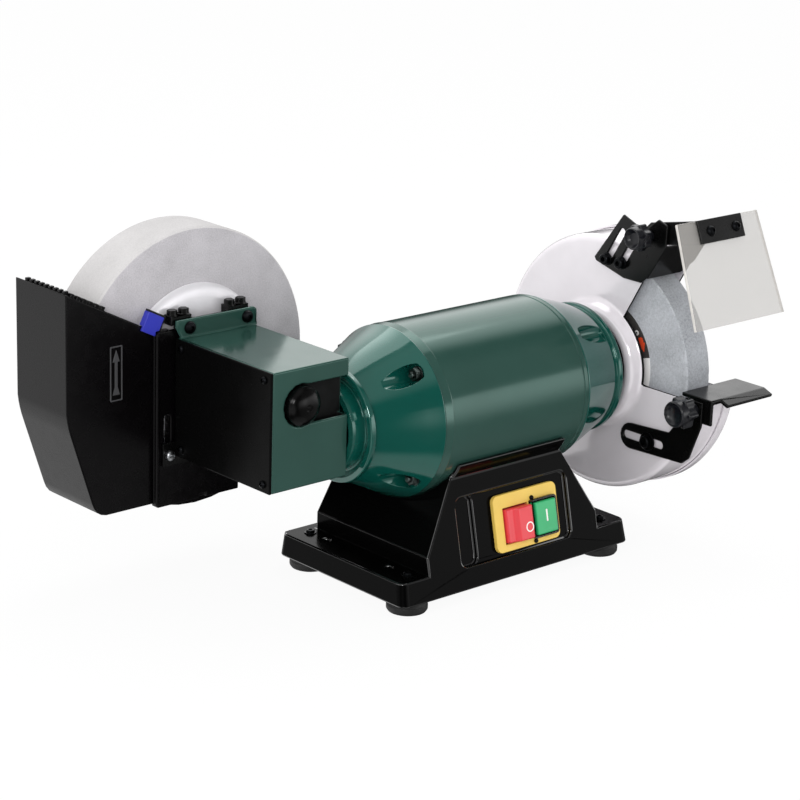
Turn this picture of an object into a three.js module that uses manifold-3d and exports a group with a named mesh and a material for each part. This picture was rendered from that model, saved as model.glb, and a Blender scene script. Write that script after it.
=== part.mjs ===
// Bench grinder with a dry wheel on the right and a slow wet stone in a tank on the left.
// Millimetres, +Z up, +X along the motor shaft towards the dry wheel, +Y to the back.
// Pieces are laid out from the motor axis (y = 0) over the bench (z = 0); the last lines
// move the whole group so that its origin is the middle of its footprint.
import * as THREE from 'three';
import { mergeVertices } from 'three/addons/utils/BufferGeometryUtils.js';
import Module from 'manifold-3d';

const wasm = await Module();
wasm.setup();

// ---------------------------------------------------------------- driving dimensions

const gap = 0.3; // clearance between neighbours that seat on or run in one another
const sheet = 2; // thickness of the bent steel plates
const wide = 44; // facets around the wheels and the guard
const round = 36; // facets around the motor
const medium = 16; // facets around shafts, bearings and flanges
const small = 12; // facets around pins and screws

// base
const flangeWidth = 227.7;
const flangeDepth = 134.5;
const footHeight = 9;
const footRadius = 15;
const footInsetX = 18;
const footInsetY = 16;
const skirtHeight = 17.2;
const skirtDraft = 1.6;
const cornerRadius = 7;
const castWall = 4;
const frontWall = 8;
const plinthHalf = 85.5;
const plinthHeight = 12.8;
const columnTopHalf = 53.5;
const columnShift = -2;
const columnBack = 58;
const columnBackHeight = 62;
const saddleAngle = 54.8; // degrees from the bottom of the housing to the saddle's edges
const saddleBand = 8;
const plateThickness = 2;
const boltHole = 3.2;

// switch
const switchX = 10;
const switchZ = 48.3;
const switchWidth = 60;
const switchHeight = 42.5;
const recessWidth = 111;
const recessHeight = 51;
const recessDepth = 3;
const trenchWidth = 18;
const trenchDepth = 6;
const switchPlate = 3.5;
const buttonProud = 6;
const buttonTravel = 3;
const switchDepth = 26;

// motor
const axisHeight = 129.5;
const motorRadius = 63.4;
const motorWall = 4;
const motorLeft = -72.7;
const motorRight = 70.5;
const bellEndLeft = -124.3;
const bellEndRight = 117.5;
const leftEndRadius = 40.6;
const rightEndRadius = 46.5;
const pocketRadius = 7;
const bellWall = 4;
const neckRadius = 33.5;
const shaftRadius = 6;
const bearingRadius = 16;
const bearingWidth = 10;
const coreLength = 70;
const coreBore = 33.3;
const airGap = 0.6;
const tieRadius = 54.5;
const tieRod = 2.5;

// dry wheel and its guard
const wheelRadius = 87.5;
const wheelWidth = 25;
const wheelNear = 150.6;
const guardNear = 142;
const guardDepth = 46;
const guardRadius = 99.4;
const guardEdge = 6;
const guardSheet = 2;
const lipCrest = 42.5;
const lipHeight = 6;
const cutRadius = 50;
const cutTopAngle = 122.4;
const cutBottomAngle = 187;
const cutLevel = -7;
const wheelClearance = 2.5;

// wet side
const wetX = -175.4;
const gearCentres = 30.3;
const wetRadius = 100;
const wetWidth = 40;
const wetNear = 94.6;
const boxLeft = -202.8;
const boxRight = -133.6;
const boxFront = -27.5;
const boxBack = 79.1;
const boxDrop = 29.1; // from the motor's axis down to the gearbox's underside
const boxRise = 57.2; // and up to its top
const boxBottom = axisHeight - boxDrop;
const boxTop = axisHeight + boxRise;
const boxWall = 3;
const railRise = 13.3;
const railTop = boxTop + railRise;
const capRadius = 15;
const bushRadius = 9;
const dishRadius = 60;
const wetShaftRadius = 6;

// worm drive
const gearModule = 2;
const gearTeeth = 20;
const threadHalf = 1.1; // half the thickness of thread and tooth on the pitch line
const gearWidth = 10;
const wormLength = 24;

// tank
const tankFront = 86;
const tankRoomBehind = 12.4; // from the stone's back to the tank's outside
const tankBack = wetNear + wetWidth + tankRoomBehind;
const tankWall = 3;
const tankLeft = -290;
const tankRight = -66;
const tankLeftTop = axisHeight + 100.5;
const tankRim = axisHeight + 63;
const tankRightRim = axisHeight + 20.5;
const tankFloor = axisHeight - 64.8;
const tankTravel = 26;
const panelLeft = -216;
const panelRight = -143;
const sumpClearance = 2;
const sumpWall = 2;
const sumpFront = 90.5;
const slotX = -207.6;
const slotScrewZ = axisHeight - 28;

// --------------------------------------------------------------------- shared helpers

const wetZ = axisHeight + gearCentres;
const flangeTop = footHeight + skirtHeight;
const turn = Math.PI / 180;

/** Merged, degenerate-free copy of a closed geometry with its faces pointing out. */
function closed(geometry) {
  const plain = geometry.clone();
  plain.deleteAttribute('normal');
  plain.deleteAttribute('uv');
  const merged = mergeVertices(plain);
  const p = merged.getAttribute('position');
  const index = merged.getIndex().array;
  const kept = [];
  const [a, b, c] = [new THREE.Vector3(), new THREE.Vector3(), new THREE.Vector3()];
  let volume = 0;
  for (let i = 0; i < index.length; i += 3) {
    const [i0, i1, i2] = [index[i], index[i + 1], index[i + 2]];
    if (i0 === i1 || i1 === i2 || i2 === i0) continue;
    kept.push(i0, i1, i2);
    a.fromBufferAttribute(p, i0);
    b.fromBufferAttribute(p, i1);
    c.fromBufferAttribute(p, i2);
    volume += a.dot(b.cross(c));
  }
  if (volume < 0) kept.reverse();
  merged.setIndex(kept);
  return merged;
}

function toSolid(geometry) {
  const body = closed(geometry);
  return new wasm.Manifold(new wasm.Mesh({
    numProp: 3,
    vertProperties: Float32Array.from(body.getAttribute('position').array),
    triVerts: Uint32Array.from(body.getIndex().array),
  }));
}

function toGeometry(solid) {
  const mesh = solid.getMesh();
  const geometry = new THREE.BufferGeometry();
  geometry.setAttribute('position', new THREE.BufferAttribute(mesh.vertProperties, 3));
  geometry.setIndex(new THREE.BufferAttribute(mesh.triVerts, 1));
  return geometry;
}

const join = (...parts) => toGeometry(parts.map(toSolid).reduce((a, b) => a.add(b)));
const common = (a, b) => toGeometry(toSolid(a).intersect(toSolid(b)));
const cut = (body, ...tools) => (
  toGeometry(tools.map(toSolid).reduce((a, b) => a.subtract(b), toSolid(body)))
);

function outlineOf(points) {
  return new THREE.Shape(points.map(([u, v]) => new THREE.Vector2(u, v)));
}

/** Outline [u, v] of plane 'yz', 'xz' or 'xy' as a slab between two places on the third axis. */
function slab(plane, outline, from, to, curveSegments = 4) {
  const shape = Array.isArray(outline) ? outlineOf(outline) : outline;
  const options = { depth: to - from, bevelEnabled: false, curveSegments };
  const geometry = new THREE.ExtrudeGeometry(shape, options);
  const [x, y, z] = [
    new THREE.Vector3(1, 0, 0), new THREE.Vector3(0, 1, 0), new THREE.Vector3(0, 0, 1),
  ];
  const basis = new THREE.Matrix4();
  if (plane === 'yz') basis.makeBasis(y, z, x).setPosition(from, 0, 0);
  if (plane === 'xz') basis.makeBasis(x, z, y.clone().negate()).setPosition(0, to, 0);
  if (plane === 'xy') basis.makeBasis(x, y, z).setPosition(0, 0, from);
  return geometry.applyMatrix4(basis);
}

function block(x0, x1, y0, y1, z0, z1) {
  return new THREE.BoxGeometry(x1 - x0, y1 - y0, z1 - z0)
    .translate((x0 + x1) / 2, (y0 + y1) / 2, (z0 + z1) / 2);
}

function roundedRect(u0, u1, v0, v1, r) {
  const shape = new THREE.Shape();
  shape.moveTo(u0 + r, v0);
  shape.lineTo(u1 - r, v0);
  shape.absarc(u1 - r, v0 + r, r, -Math.PI / 2, 0);
  shape.lineTo(u1, v1 - r);
  shape.absarc(u1 - r, v1 - r, r, 0, Math.PI / 2);
  shape.lineTo(u0 + r, v1);
  shape.absarc(u0 + r, v1 - r, r, Math.PI / 2, Math.PI);
  shape.lineTo(u0, v0 + r);
  shape.absarc(u0 + r, v0 + r, r, Math.PI, Math.PI * 1.5);
  return shape;
}

/** Rounded-end slot between two points, as an outline. */
function slotOutline(u0, v0, u1, v1, r) {
  const along = Math.atan2(v1 - v0, u1 - u0);
  const shape = new THREE.Shape();
  shape.absarc(u1, v1, r, along - Math.PI / 2, along + Math.PI / 2);
  shape.absarc(u0, v0, r, along + Math.PI / 2, along + Math.PI * 1.5);
  shape.closePath();
  return shape;
}

/** Turned solid about X through (y, z) from a profile of [radius, x] points. */
function turnedX(profile, y = 0, z = axisHeight, facets = round) {
  const points = profile.map(([r, x]) => new THREE.Vector2(r, x));
  return new THREE.LatheGeometry(points, facets).rotateZ(-Math.PI / 2).translate(0, y, z);
}

/** Turned solid about Y through (x, z) from a profile of [radius, y] points. */
function turnedY(profile, x = wetX, z = wetZ, facets = round) {
  const points = profile.map(([r, y]) => new THREE.Vector2(r, y));
  return new THREE.LatheGeometry(points, facets).translate(x, 0, z);
}

/** Turned solid about Z through (x, y) from a profile of [radius, z] points. */
function turnedZ(profile, x, y, facets = small) {
  const points = profile.map(([r, z]) => new THREE.Vector2(r, z));
  return new THREE.LatheGeometry(points, facets).rotateX(Math.PI / 2).translate(x, y, 0);
}

const ring = (inner, outer, from, to) => [
  [inner, from], [outer, from], [outer, to], [inner, to], [inner, from],
];
const disc = (radius, from, to) => [[0, from], [radius, from], [radius, to], [0, to]];

const group = new THREE.Group();

function add(name, geometry, [color, roughness, metalness], parent = group) {
  const material = new THREE.MeshStandardMaterial({ color, roughness, metalness });
  const mesh = new THREE.Mesh(closed(geometry), material);
  mesh.name = name;
  parent.add(mesh);
  return mesh;
}

const BLACK = [0x1a191a, 0.35, 0.1];
const GREEN = [0x2d5048, 0.3, 0.3];
const SILVER = [0xd5d0d5, 0.3, 0.6];
const STEEL = [0xb0b2b5, 0.3, 1];
const STONE = [0xb7b8bb, 0.9, 0];
const RUBBER = [0x101010, 0.9, 0];
const COPPER = [0xb06a3a, 0.5, 0.8];

// ------------------------------------------------------------------------------- base

const saddleY = (motorRadius + gap) * Math.sin(saddleAngle * turn);
const saddleZ = axisHeight - (motorRadius + gap) * Math.cos(saddleAngle * turn);
const frontSlope = (flangeDepth / 2 - saddleY) / (saddleZ - flangeTop);
const frontY = (z) => -flangeDepth / 2 + frontSlope * (z - flangeTop);
const faceAngle = Math.atan(frontSlope);

/** Skirt and flange, drafted at the sides and back, leaning with the front face. */
function skirtBlock(inset, frontInset, bottom, top) {
  const half = flangeWidth / 2 - inset;
  const front = -flangeDepth / 2 + frontInset / Math.cos(faceAngle);
  const back = flangeDepth / 2 - inset;
  const outline = roundedRect(-half, half, front, back, cornerRadius - inset / 2);
  const geometry = slab('xy', outline, bottom, top);
  const p = geometry.getAttribute('position');
  for (let i = 0; i < p.count; i += 1) {
    const below = flangeTop - p.getZ(i);
    const draft = (skirtDraft * below) / skirtHeight;
    const forward = p.getY(i) < 0 ? frontSlope * below : draft;
    p.setX(i, p.getX(i) * (1 + draft / half));
    p.setY(i, p.getY(i) + forward * Math.sign(p.getY(i)));
  }
  return geometry;
}

function columnBlock(inset, frontInset, bottom) {
  const kink = flangeTop + plinthHeight;
  const low = plinthHalf - inset;
  const high = columnTopHalf - inset;
  const across = [
    [-low, bottom], [low, bottom], [low, kink], [high, saddleZ], [-high, saddleZ], [-low, kink],
  ].map(([x, z]) => [x + columnShift, z]);
  const inner = frontInset / Math.cos(faceAngle);
  const along = [
    [frontY(bottom) + inner, bottom], [columnBack - inset, bottom],
    [columnBack - inset, columnBackHeight], [saddleY - inset, saddleZ],
    [frontY(saddleZ) + inner, saddleZ],
  ];
  return common(
    slab('xz', across, -flangeDepth, flangeDepth),
    slab('yz', along, -flangeWidth, flangeWidth),
  );
}

/** Band of the column that hugs the housing above the column's edges. */
function saddleStrip() {
  const strip = turnedX(ring(
    motorRadius + gap, motorRadius + gap + 3,
    columnShift - columnTopHalf, columnShift + columnTopHalf,
  ));
  return common(strip, block(
    -flangeWidth, flangeWidth, -flangeDepth, flangeDepth, saddleZ - 6, saddleZ + saddleBand,
  ));
}

const footPoints = [-1, 1].flatMap((sx) => [
  [
    sx * (flangeWidth / 2 + skirtDraft - footInsetX),
    -flangeDepth / 2 - frontSlope * skirtHeight + footInsetY,
  ],
  [sx * (flangeWidth / 2 + skirtDraft - footInsetX), flangeDepth / 2 + skirtDraft - footInsetY],
]);
const boltPoints = [-1, 1].flatMap((sx) => [-1, 1].map((sy) => (
  [sx * (flangeWidth / 2 - 16), sy * (flangeDepth / 2 - 33)]
)));
const floorZ = footHeight + 1; // underside of the bottom plate
const floorTop = floorZ + plateThickness;
const studRadius = 4;

// The switch sits square to the leaning front face, in a frame of its own.
const faceFrame = new THREE.Group();
faceFrame.position.set(switchX, frontY(switchZ), switchZ);
faceFrame.rotation.x = -faceAngle;
faceFrame.updateMatrix();
const onFace = (geometry) => geometry.applyMatrix4(faceFrame.matrix);

const buttons = [
  { name: 'stop_button', x: -9.5, z: -3.5, width: 25, height: 27, color: [0xd8434a, 0.35, 0] },
  { name: 'start_button', x: 15.3, z: -3, width: 18, height: 25, color: [0x2fae72, 0.35, 0] },
];
const bodyLeft = -25;
const bodyRight = 27.3;
const bodyLow = -20;
const bodyHigh = 14;

const glandX = 45;
const glandZ = 46;
const glandRadius = 7;

function baseCasting() {
  const outer = join(
    skirtBlock(0, 0, footHeight, flangeTop), columnBlock(0, 0, flangeTop - 1), saddleStrip(),
  );
  const seat = turnedX(disc(motorRadius + gap, -flangeWidth, flangeWidth));
  const roof = turnedX(disc(motorRadius + gap + castWall, -flangeWidth, flangeWidth));
  const hollow = cut(
    join(
      skirtBlock(castWall, frontWall, footHeight - 1, flangeTop - castWall),
      columnBlock(castWall, frontWall, footHeight),
    ),
    roof,
    ...footPoints.map(([x, y]) => turnedZ(disc(9, floorTop, flangeTop), x, y)),
  );
  const studs = footPoints.map(([x, y]) => (
    turnedZ(disc(studRadius + gap, floorTop - 1, flangeTop - castWall), x, y)
  ));
  const bolts = boltPoints.map(([x, y]) => turnedZ(disc(boltHole, 0, flangeTop + 1), x, y));
  const recess = onFace(slab('xz', roundedRect(
    -recessWidth / 2 - switchX, recessWidth / 2 - switchX,
    -recessHeight / 2 + 1.5, recessHeight / 2 + 1.5, 6,
  ), -10, recessDepth));
  const trench = onFace(slab('xz', roundedRect(
    -recessWidth / 2 - switchX, -recessWidth / 2 - switchX + trenchWidth,
    -recessHeight / 2 + 1.5, recessHeight / 2 + 1.5, 6,
  ), -10, trenchDepth));
  const opening = onFace(block(
    bodyLeft - gap, bodyRight + gap, -10, frontWall * 2, bodyLow - gap, bodyHigh + gap,
  ));
  const inlet = turnedY(disc(glandRadius + gap, columnBack - 2 * castWall, columnBack + 1),
    glandX, glandZ, small);
  return cut(outer, seat, hollow, ...studs, ...bolts, recess, trench, opening, inlet);
}

function bottomPlate() {
  const half = flangeWidth / 2 - castWall - gap;
  const front = frontY(floorZ) + frontWall / Math.cos(faceAngle) + 2 * gap;
  const plate = slab('xy', roundedRect(
    -half, half, front, flangeDepth / 2 - castWall - gap, cornerRadius,
  ), floorZ, floorTop);
  const studs = footPoints.map(([x, y]) => (
    turnedZ(disc(studRadius + gap, floorZ - 1, floorTop + 1), x, y)
  ));
  const bolts = boltPoints.map(([x, y]) => turnedZ(disc(boltHole, 0, flangeTop), x, y));
  return cut(plate, ...studs, ...bolts);
}

function foot(x, y) {
  return turnedZ([
    [0, 0], [footRadius - 1.5, 0], [footRadius, 1.5], [footRadius, footHeight - gap],
    [studRadius + 3, footHeight - gap], [studRadius + 3, floorZ - gap], [studRadius, floorZ - gap],
    [studRadius, flangeTop - castWall - 1], [0, flangeTop - castWall - 1],
  ], x, y, medium);
}

function cableGland() {
  const flange = columnBack + gap;
  return turnedY([
    [3.2, columnBack - 10], [glandRadius, columnBack - 10], [glandRadius, flange],
    [glandRadius + 4, flange], [glandRadius + 4, flange + 5], [glandRadius, flange + 8],
    [5, flange + 14], [3.2, flange + 14], [3.2, columnBack - 10],
  ], glandX, glandZ, small);
}

function switchPlateBody() {
  const front = recessDepth - switchPlate;
  const plate = slab('xz', roundedRect(
    -switchWidth / 2, switchWidth / 2, -switchHeight / 2, switchHeight / 2, 5,
  ), front, recessDepth);
  const holes = buttons.map((b) => block(
    b.x - b.width / 2 - gap, b.x + b.width / 2 + gap, front - 1, recessDepth + 1,
    b.z - b.height / 2 - gap, b.z + b.height / 2 + gap,
  ));
  return cut(plate, ...holes);
}

function switchBody() {
  const body = block(
    bodyLeft, bodyRight, recessDepth, recessDepth + switchDepth, bodyLow, bodyHigh,
  );
  const wells = buttons.map((b) => block(
    b.x - b.width / 2 - gap, b.x + b.width / 2 + gap, recessDepth - 1,
    recessDepth + 6 + buttonTravel + gap,
    b.z - b.height / 2 - gap, b.z + b.height / 2 + gap,
  ));
  return cut(body, ...wells);
}

/** Chamfered push button whose back runs in the switch body's well. */
function pushButton({ x, z, width, height }) {
  const chamfer = 1.5;
  const front = recessDepth - switchPlate - buttonProud;
  const length = recessDepth + 6 - front;
  const shape = roundedRect(
    x - width / 2 + chamfer, x + width / 2 - chamfer,
    z - height / 2 + chamfer, z + height / 2 - chamfer, 1,
  );
  const geometry = new THREE.ExtrudeGeometry(shape, {
    depth: length - 2 * chamfer, bevelThickness: chamfer, bevelSize: chamfer,
    bevelSegments: 1, curveSegments: 3,
  });
  return geometry.rotateX(Math.PI / 2).translate(0, front + length - chamfer, 0);
}

function runCapacitor() {
  const radius = 16;
  return turnedX(
    [[0, -40], [radius - 2, -40], [radius, -38], [radius, 25], [radius - 2, 27], [0, 27]],
    22, floorTop + radius + gap, medium,
  );
}

add('base_casting', baseCasting(), BLACK);
add('bottom_plate', bottomPlate(), STEEL);
footPoints.forEach(([x, y], i) => add(`foot_${i + 1}`, foot(x, y), RUBBER));
add('cable_gland', cableGland(), RUBBER);
add('run_capacitor', runCapacitor(), [0xd8d8d4, 0.5, 0]);
group.add(faceFrame);
add('switch_plate', switchPlateBody(), [0xe8cb6a, 0.45, 0], faceFrame);
add('switch_body', switchBody(), BLACK, faceFrame);
buttons.forEach((b) => add(b.name, pushButton(b), b.color, faceFrame));

// ------------------------------------------------------------------------------ motor

const spigotRadius = motorRadius - motorWall - gap;
const windingRadius = tieRadius - tieRod - 1;

/** Places of the four tie rods around the motor axis, as [y, z]. */
const tiePoints = [45, 135, 225, 315].map((a) => (
  [tieRadius * Math.cos(a * turn), axisHeight + tieRadius * Math.sin(a * turn)]
));

/**
 * End bell, drawn for the left end; side -1 is left and +1 is right. The profile runs from
 * the seam with the housing down the cone to the end ring and neck, then back inside.
 */
function endBell(side, seam, end, neckEnd, endRadius, neck) {
  const s = side;
  const ringStart = end - s * 5;
  const cone = (t) => [
    motorRadius + (endRadius - motorRadius) * (t + 0.12 * t * (t - 1)),
    seam + (ringStart - seam) * t,
  ];
  const thick = seam + s * 6;
  const wallInside = end - s * 8;
  const pocket = wallInside - s * 2;
  const profile = [
    [motorRadius, seam], cone(0.33), cone(0.67), cone(1),
    [endRadius, end], [endRadius - 3, end], [neck, end - s * 2.5],
    [neck, neckEnd], [neck - 5, neckEnd], [neck - 5, end - s * 4],
    [shaftRadius + 2, end - s * 4], [shaftRadius + 2, pocket + s],
    [bearingRadius + gap, pocket + s], [bearingRadius + gap, pocket - s * (bearingWidth - 1)],
    [bearingRadius + 5, pocket - s * (bearingWidth - 1)], [bearingRadius + 5, wallInside],
    [cone(1)[0] - bellWall, wallInside], [cone(0.15)[0] - bellWall, thick],
    [tieRadius - tieRod - 2, thick],
    [tieRadius - tieRod - 2, seam - s * 5], [spigotRadius, seam - s * 5],
    [spigotRadius, seam], [motorRadius, seam],
  ];
  const bar = (radius, a, b, sides) => tiePoints.map(([y, z]) => (
    turnedX(disc(radius, Math.min(a, b), Math.max(a, b)), y, z, sides)
  ));
  const rods = bar(tieRod + gap, seam - s * 6, end, small - 2);
  const pockets = bar(pocketRadius, thick, end - s * 9, small);
  return cut(turnedX(profile), ...rods, ...pockets);
}

function bearing(x0) {
  const profile = ring(shaftRadius + gap / 2, bearingRadius, x0, x0 + bearingWidth);
  return turnedX(profile, 0, axisHeight, medium);
}

function statorCore() {
  const body = turnedX(ring(coreBore, spigotRadius, -coreLength / 2, coreLength / 2));
  return cut(body, ...tiePoints.map(([y, z]) => (
    turnedX(disc(tieRod + gap, -coreLength, coreLength), y, z, small - 2)
  )));
}

function winding(side) {
  const near = coreLength / 2;
  const profile = [
    [coreBore + 3, near], [windingRadius, near], [windingRadius, near + 18],
    [windingRadius - 4, near + 22], [coreBore + 7, near + 22], [coreBore + 3, near + 18],
    [coreBore + 3, near],
  ];
  return turnedX(profile.map(([r, x]) => [r, x * side]), 0, axisHeight, medium + 8);
}

function tieBolt([y, z]) {
  const left = motorLeft - 6 - gap;
  const right = motorRight + 6 + gap;
  return turnedX([
    [0, left - 4], [5, left - 4], [5, left], [tieRod, left], [tieRod, right], [5, right],
    [5, right + 4], [0, right + 4],
  ], y, z, small - 4);
}

const guardWall = guardNear + guardSheet;
const leftPocket = bellEndLeft + 10;
const rightPocket = bellEndRight - 10;
add('motor_housing', turnedX(ring(motorRadius - motorWall, motorRadius, motorLeft, motorRight)), GREEN);
add('left_bell', endBell(-1, motorLeft, bellEndLeft, boxRight, leftEndRadius, neckRadius), GREEN);
add('right_bell', endBell(
  1, motorRight, bellEndRight, guardWall + 0.5, rightEndRadius, neckRadius + 1,
), GREEN);
add('stator_core', statorCore(), STEEL);
add('left_winding', winding(-1), COPPER);
add('right_winding', winding(1), COPPER);
add('left_bearing', bearing(leftPocket), STEEL);
add('right_bearing', bearing(rightPocket - bearingWidth), STEEL);
tiePoints.forEach((p, i) => add(`tie_bolt_${i + 1}`, tieBolt(p), STEEL));

// ------------------------------------------------------------- rotor and the dry wheel

const wheelFar = wheelNear + wheelWidth;
const nutStart = wheelFar + gap + 4;
const nutWidth = 7;
const wormBushEnd = boxLeft + sheet + gap;
const pitchRadius = (gearModule * gearTeeth) / 2;
const wormPitchRadius = gearCentres - pitchRadius;
const threadPitch = Math.PI * gearModule;
const addendum = gearModule * 0.9;
const dedendum = gearModule * 1.25;
const pressure = Math.tan(20 * turn);

function rotorShaft() {
  const thick = coreLength / 2 + 10;
  return turnedX([
    [0, wormBushEnd], [shaftRadius, wormBushEnd], [shaftRadius, -thick], [10, -thick],
    [10, thick], [shaftRadius, thick], [shaftRadius, nutStart + nutWidth + 1],
    [0, nutStart + nutWidth + 1],
  ], 0, axisHeight, medium);
}

/** Single-start worm: a thread of trapezoid section swept round a core, trimmed square. */
function worm() {
  const steps = small + 2;
  const turns = Math.ceil(wormLength / threadPitch / 2) + 1;
  const root = wormPitchRadius - dedendum;
  const tip = wormPitchRadius + addendum;
  const section = [
    [-threadHalf - (dedendum + 1) * pressure, root - 1], [-threadHalf + addendum * pressure, tip],
    [threadHalf - addendum * pressure, tip], [threadHalf + (dedendum + 1) * pressure, root - 1],
  ];
  const points = [];
  const faces = [];
  const last = 2 * turns * steps;
  for (let i = 0; i <= last; i += 1) {
    const angle = (i / steps - turns) * Math.PI * 2;
    section.forEach(([x, r]) => points.push(
      x + (angle / (Math.PI * 2)) * threadPitch, -r * Math.sin(angle), r * Math.cos(angle),
    ));
  }
  for (let i = 0; i < last; i += 1) {
    for (let j = 0; j < 4; j += 1) {
      const a = i * 4 + j;
      const b = i * 4 + ((j + 1) % 4);
      faces.push(a, b, b + 4, a, b + 4, a + 4);
    }
  }
  const end = last * 4;
  faces.push(0, 2, 1, 0, 3, 2, end, end + 1, end + 2, end, end + 2, end + 3);
  const thread = new THREE.BufferGeometry();
  thread.setAttribute('position', new THREE.Float32BufferAttribute(points, 3));
  thread.setIndex(faces);
  const half = wormLength / 2;
  const core = turnedX(disc(root, -half, half), 0, 0, small);
  const room = turnedX(disc(pitchRadius, -half, half), 0, 0, small);
  const bore = turnedX(disc(shaftRadius + gap / 2, -half - 1, half + 1), 0, 0, medium);
  return cut(common(join(core, thread), room), bore).translate(wetX, 0, axisHeight);
}

function dryFlange(near, far, grip) {
  const outer = 34;
  const hub = 14;
  const [wheelSide, outSide] = grip === 'inner' ? [far, near] : [near, far];
  const step = (outSide - wheelSide) * 0.45;
  return turnedX([
    [shaftRadius + gap / 2, wheelSide], [outer, wheelSide], [outer, wheelSide + step],
    [hub, outSide], [shaftRadius + gap / 2, outSide], [shaftRadius + gap / 2, wheelSide],
  ], 0, axisHeight, medium + 8);
}

function dryWheel() {
  const bevel = 1;
  return turnedX([
    [shaftRadius + gap / 2, wheelNear], [wheelRadius - bevel, wheelNear],
    [wheelRadius, wheelNear + bevel], [wheelRadius, wheelFar - bevel],
    [wheelRadius - bevel, wheelFar], [shaftRadius + gap / 2, wheelFar],
    [shaftRadius + gap / 2, wheelNear],
  ], 0, axisHeight, wide);
}

/** Hexagon nut along X. */
function hexNut(from, to, across, bore) {
  const blank = turnedX(disc(across / Math.sqrt(3), from, to), 0, axisHeight, 6);
  return cut(blank, turnedX(disc(bore, from - 1, to + 1), 0, axisHeight, medium));
}

add('rotor_shaft', rotorShaft(), STEEL);
add('rotor_core', turnedX(
  ring(10 + gap / 2, coreBore - airGap, -coreLength / 2, coreLength / 2), 0, axisHeight, medium + 8,
), STEEL);
add('worm', worm(), STEEL);
add('dry_inner_flange', dryFlange(wheelNear - gap - 4, wheelNear - gap, 'inner'), STEEL);
add('dry_wheel', dryWheel(), STONE);
add('dry_outer_flange', dryFlange(wheelFar + gap, wheelFar + gap + 4, 'outer'), STEEL);
add('dry_wheel_nut', hexNut(nutStart + gap, nutStart + nutWidth, 19, shaftRadius + gap / 2), STEEL);

// ------------------------------------------------------------- guard of the dry wheel

const guardFar = guardNear + guardDepth;
const plateX = guardNear - gap - sheet; // outer face of the plates that lie on the guard
const onAxis = ([y, z]) => [y, z + axisHeight];

/** Opening at the front of the guard, seen along the shaft; it frees the wheel to be used. */
function frontCut(from, to) {
  const top = cutTopAngle * turn;
  const low = cutBottomAngle * turn;
  const far = guardRadius * 1.5;
  const slope = 119 * turn; // the upper edge leans back from the radial line
  const reach = (guardRadius * 1.25 - cutRadius) / Math.cos(top - slope);
  const start = [cutRadius * Math.cos(top), cutRadius * Math.sin(top)];
  const shape = new THREE.Shape();
  const lowY = cutRadius * Math.cos(low);
  shape.moveTo(-far, cutLevel);
  shape.lineTo(lowY - 7, cutLevel);
  shape.quadraticCurveTo(lowY - 1, cutLevel, lowY, cutRadius * Math.sin(low));
  shape.absarc(0, 0, cutRadius, low, top, true);
  shape.lineTo(start[0] + reach * Math.cos(slope), start[1] + reach * Math.sin(slope));
  shape.lineTo(-far, start[1] + reach * Math.sin(slope));
  return slab('yz', shape, from, to, 10).translate(0, 0, axisHeight);
}

const arrestorScrews = [[-9, 84.2], [-24.1, 84.1]].map(onAxis);
const restScrew = onAxis([-61.4, -48.1]);

function wheelGuard() {
  const arc = [0, 45, 90].map((a) => [
    guardRadius - guardEdge + guardEdge * Math.sin(a * turn),
    guardNear + guardEdge - guardEdge * Math.cos(a * turn),
  ]);
  const inside = guardEdge - guardSheet;
  const innerArc = [90, 45, 0].map((a) => [
    guardRadius - guardEdge + inside * Math.sin(a * turn),
    guardNear + guardEdge - inside * Math.cos(a * turn),
  ]);
  const hole = neckRadius + 1 + gap;
  const lip = [
    [hole, guardWall], [hole, guardNear - 1], [hole + 2, guardNear - lipHeight * 0.7],
    [lipCrest - 3.5, guardNear - lipHeight], [lipCrest + 1, guardNear - lipHeight],
    [lipCrest + 4.5, guardNear - lipHeight * 0.6], [lipCrest + 7, guardNear],
  ];
  const profile = [
    ...lip, ...arc, [guardRadius, guardFar - gap], [guardRadius - guardSheet, guardFar - gap],
    ...innerArc, lip[0],
  ];
  const shell = turnedX(profile, 0, axisHeight, wide);
  const holes = [...arrestorScrews, restScrew].map(([y, z]) => (
    turnedX(disc(2.5 + gap, guardNear - 1, guardWall + 1), y, z, small)
  ));
  return cut(shell, frontCut(guardNear - 20, guardFar + 20), ...holes);
}

function guardCover() {
  const outer = guardRadius + gap + 1.4;
  const profile = [
    [0, guardFar], [guardRadius + gap, guardFar], [guardRadius + gap, guardFar - 7],
    [outer, guardFar - 7], [outer, guardFar + 0.5], [outer - 1.5, guardFar + guardSheet],
    [0, guardFar + guardSheet],
  ];
  return cut(turnedX(profile, 0, axisHeight, wide), frontCut(guardNear, guardFar + 20));
}

/** Socket-head screw along X with a washer, standing on the plate that it clamps. */
function plateScrew([y, z], shank, head, washer) {
  const seat = plateX - gap;
  return turnedX([
    [0, seat - 5], [head - 1, seat - 5], [head, seat - 4], [head, seat - 1.2], [washer, seat - 1.2],
    [washer, seat], [shank, seat], [shank, guardWall + 1], [0, guardWall + 1],
  ], y, z, small);
}

add('wheel_guard', wheelGuard(), SILVER);
add('guard_cover', guardCover(), SILVER);
arrestorScrews.forEach((p, i) => add(`arrestor_screw_${i + 1}`, plateScrew(p, 2.5, 4.2, 5), BLACK));
add('rest_screw', plateScrew(restScrew, 2.5, 4.6, 7), BLACK);

// ----------------------------------------------------- spark arrestor and eye shield

const shieldPivot = onAxis([-51, 110.5]);
const foldLow = onAxis([-48.6, 77.6]);
const foldHigh = onAxis([-66, 105.5]);
const arrestorAngle = Math.atan2(24, -14); // direction of the arrestor's slots
const arrestorSlot = 27;
const knobShank = 2.5;
const armX = guardNear + gap;
const tongueEnd = 186;

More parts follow.
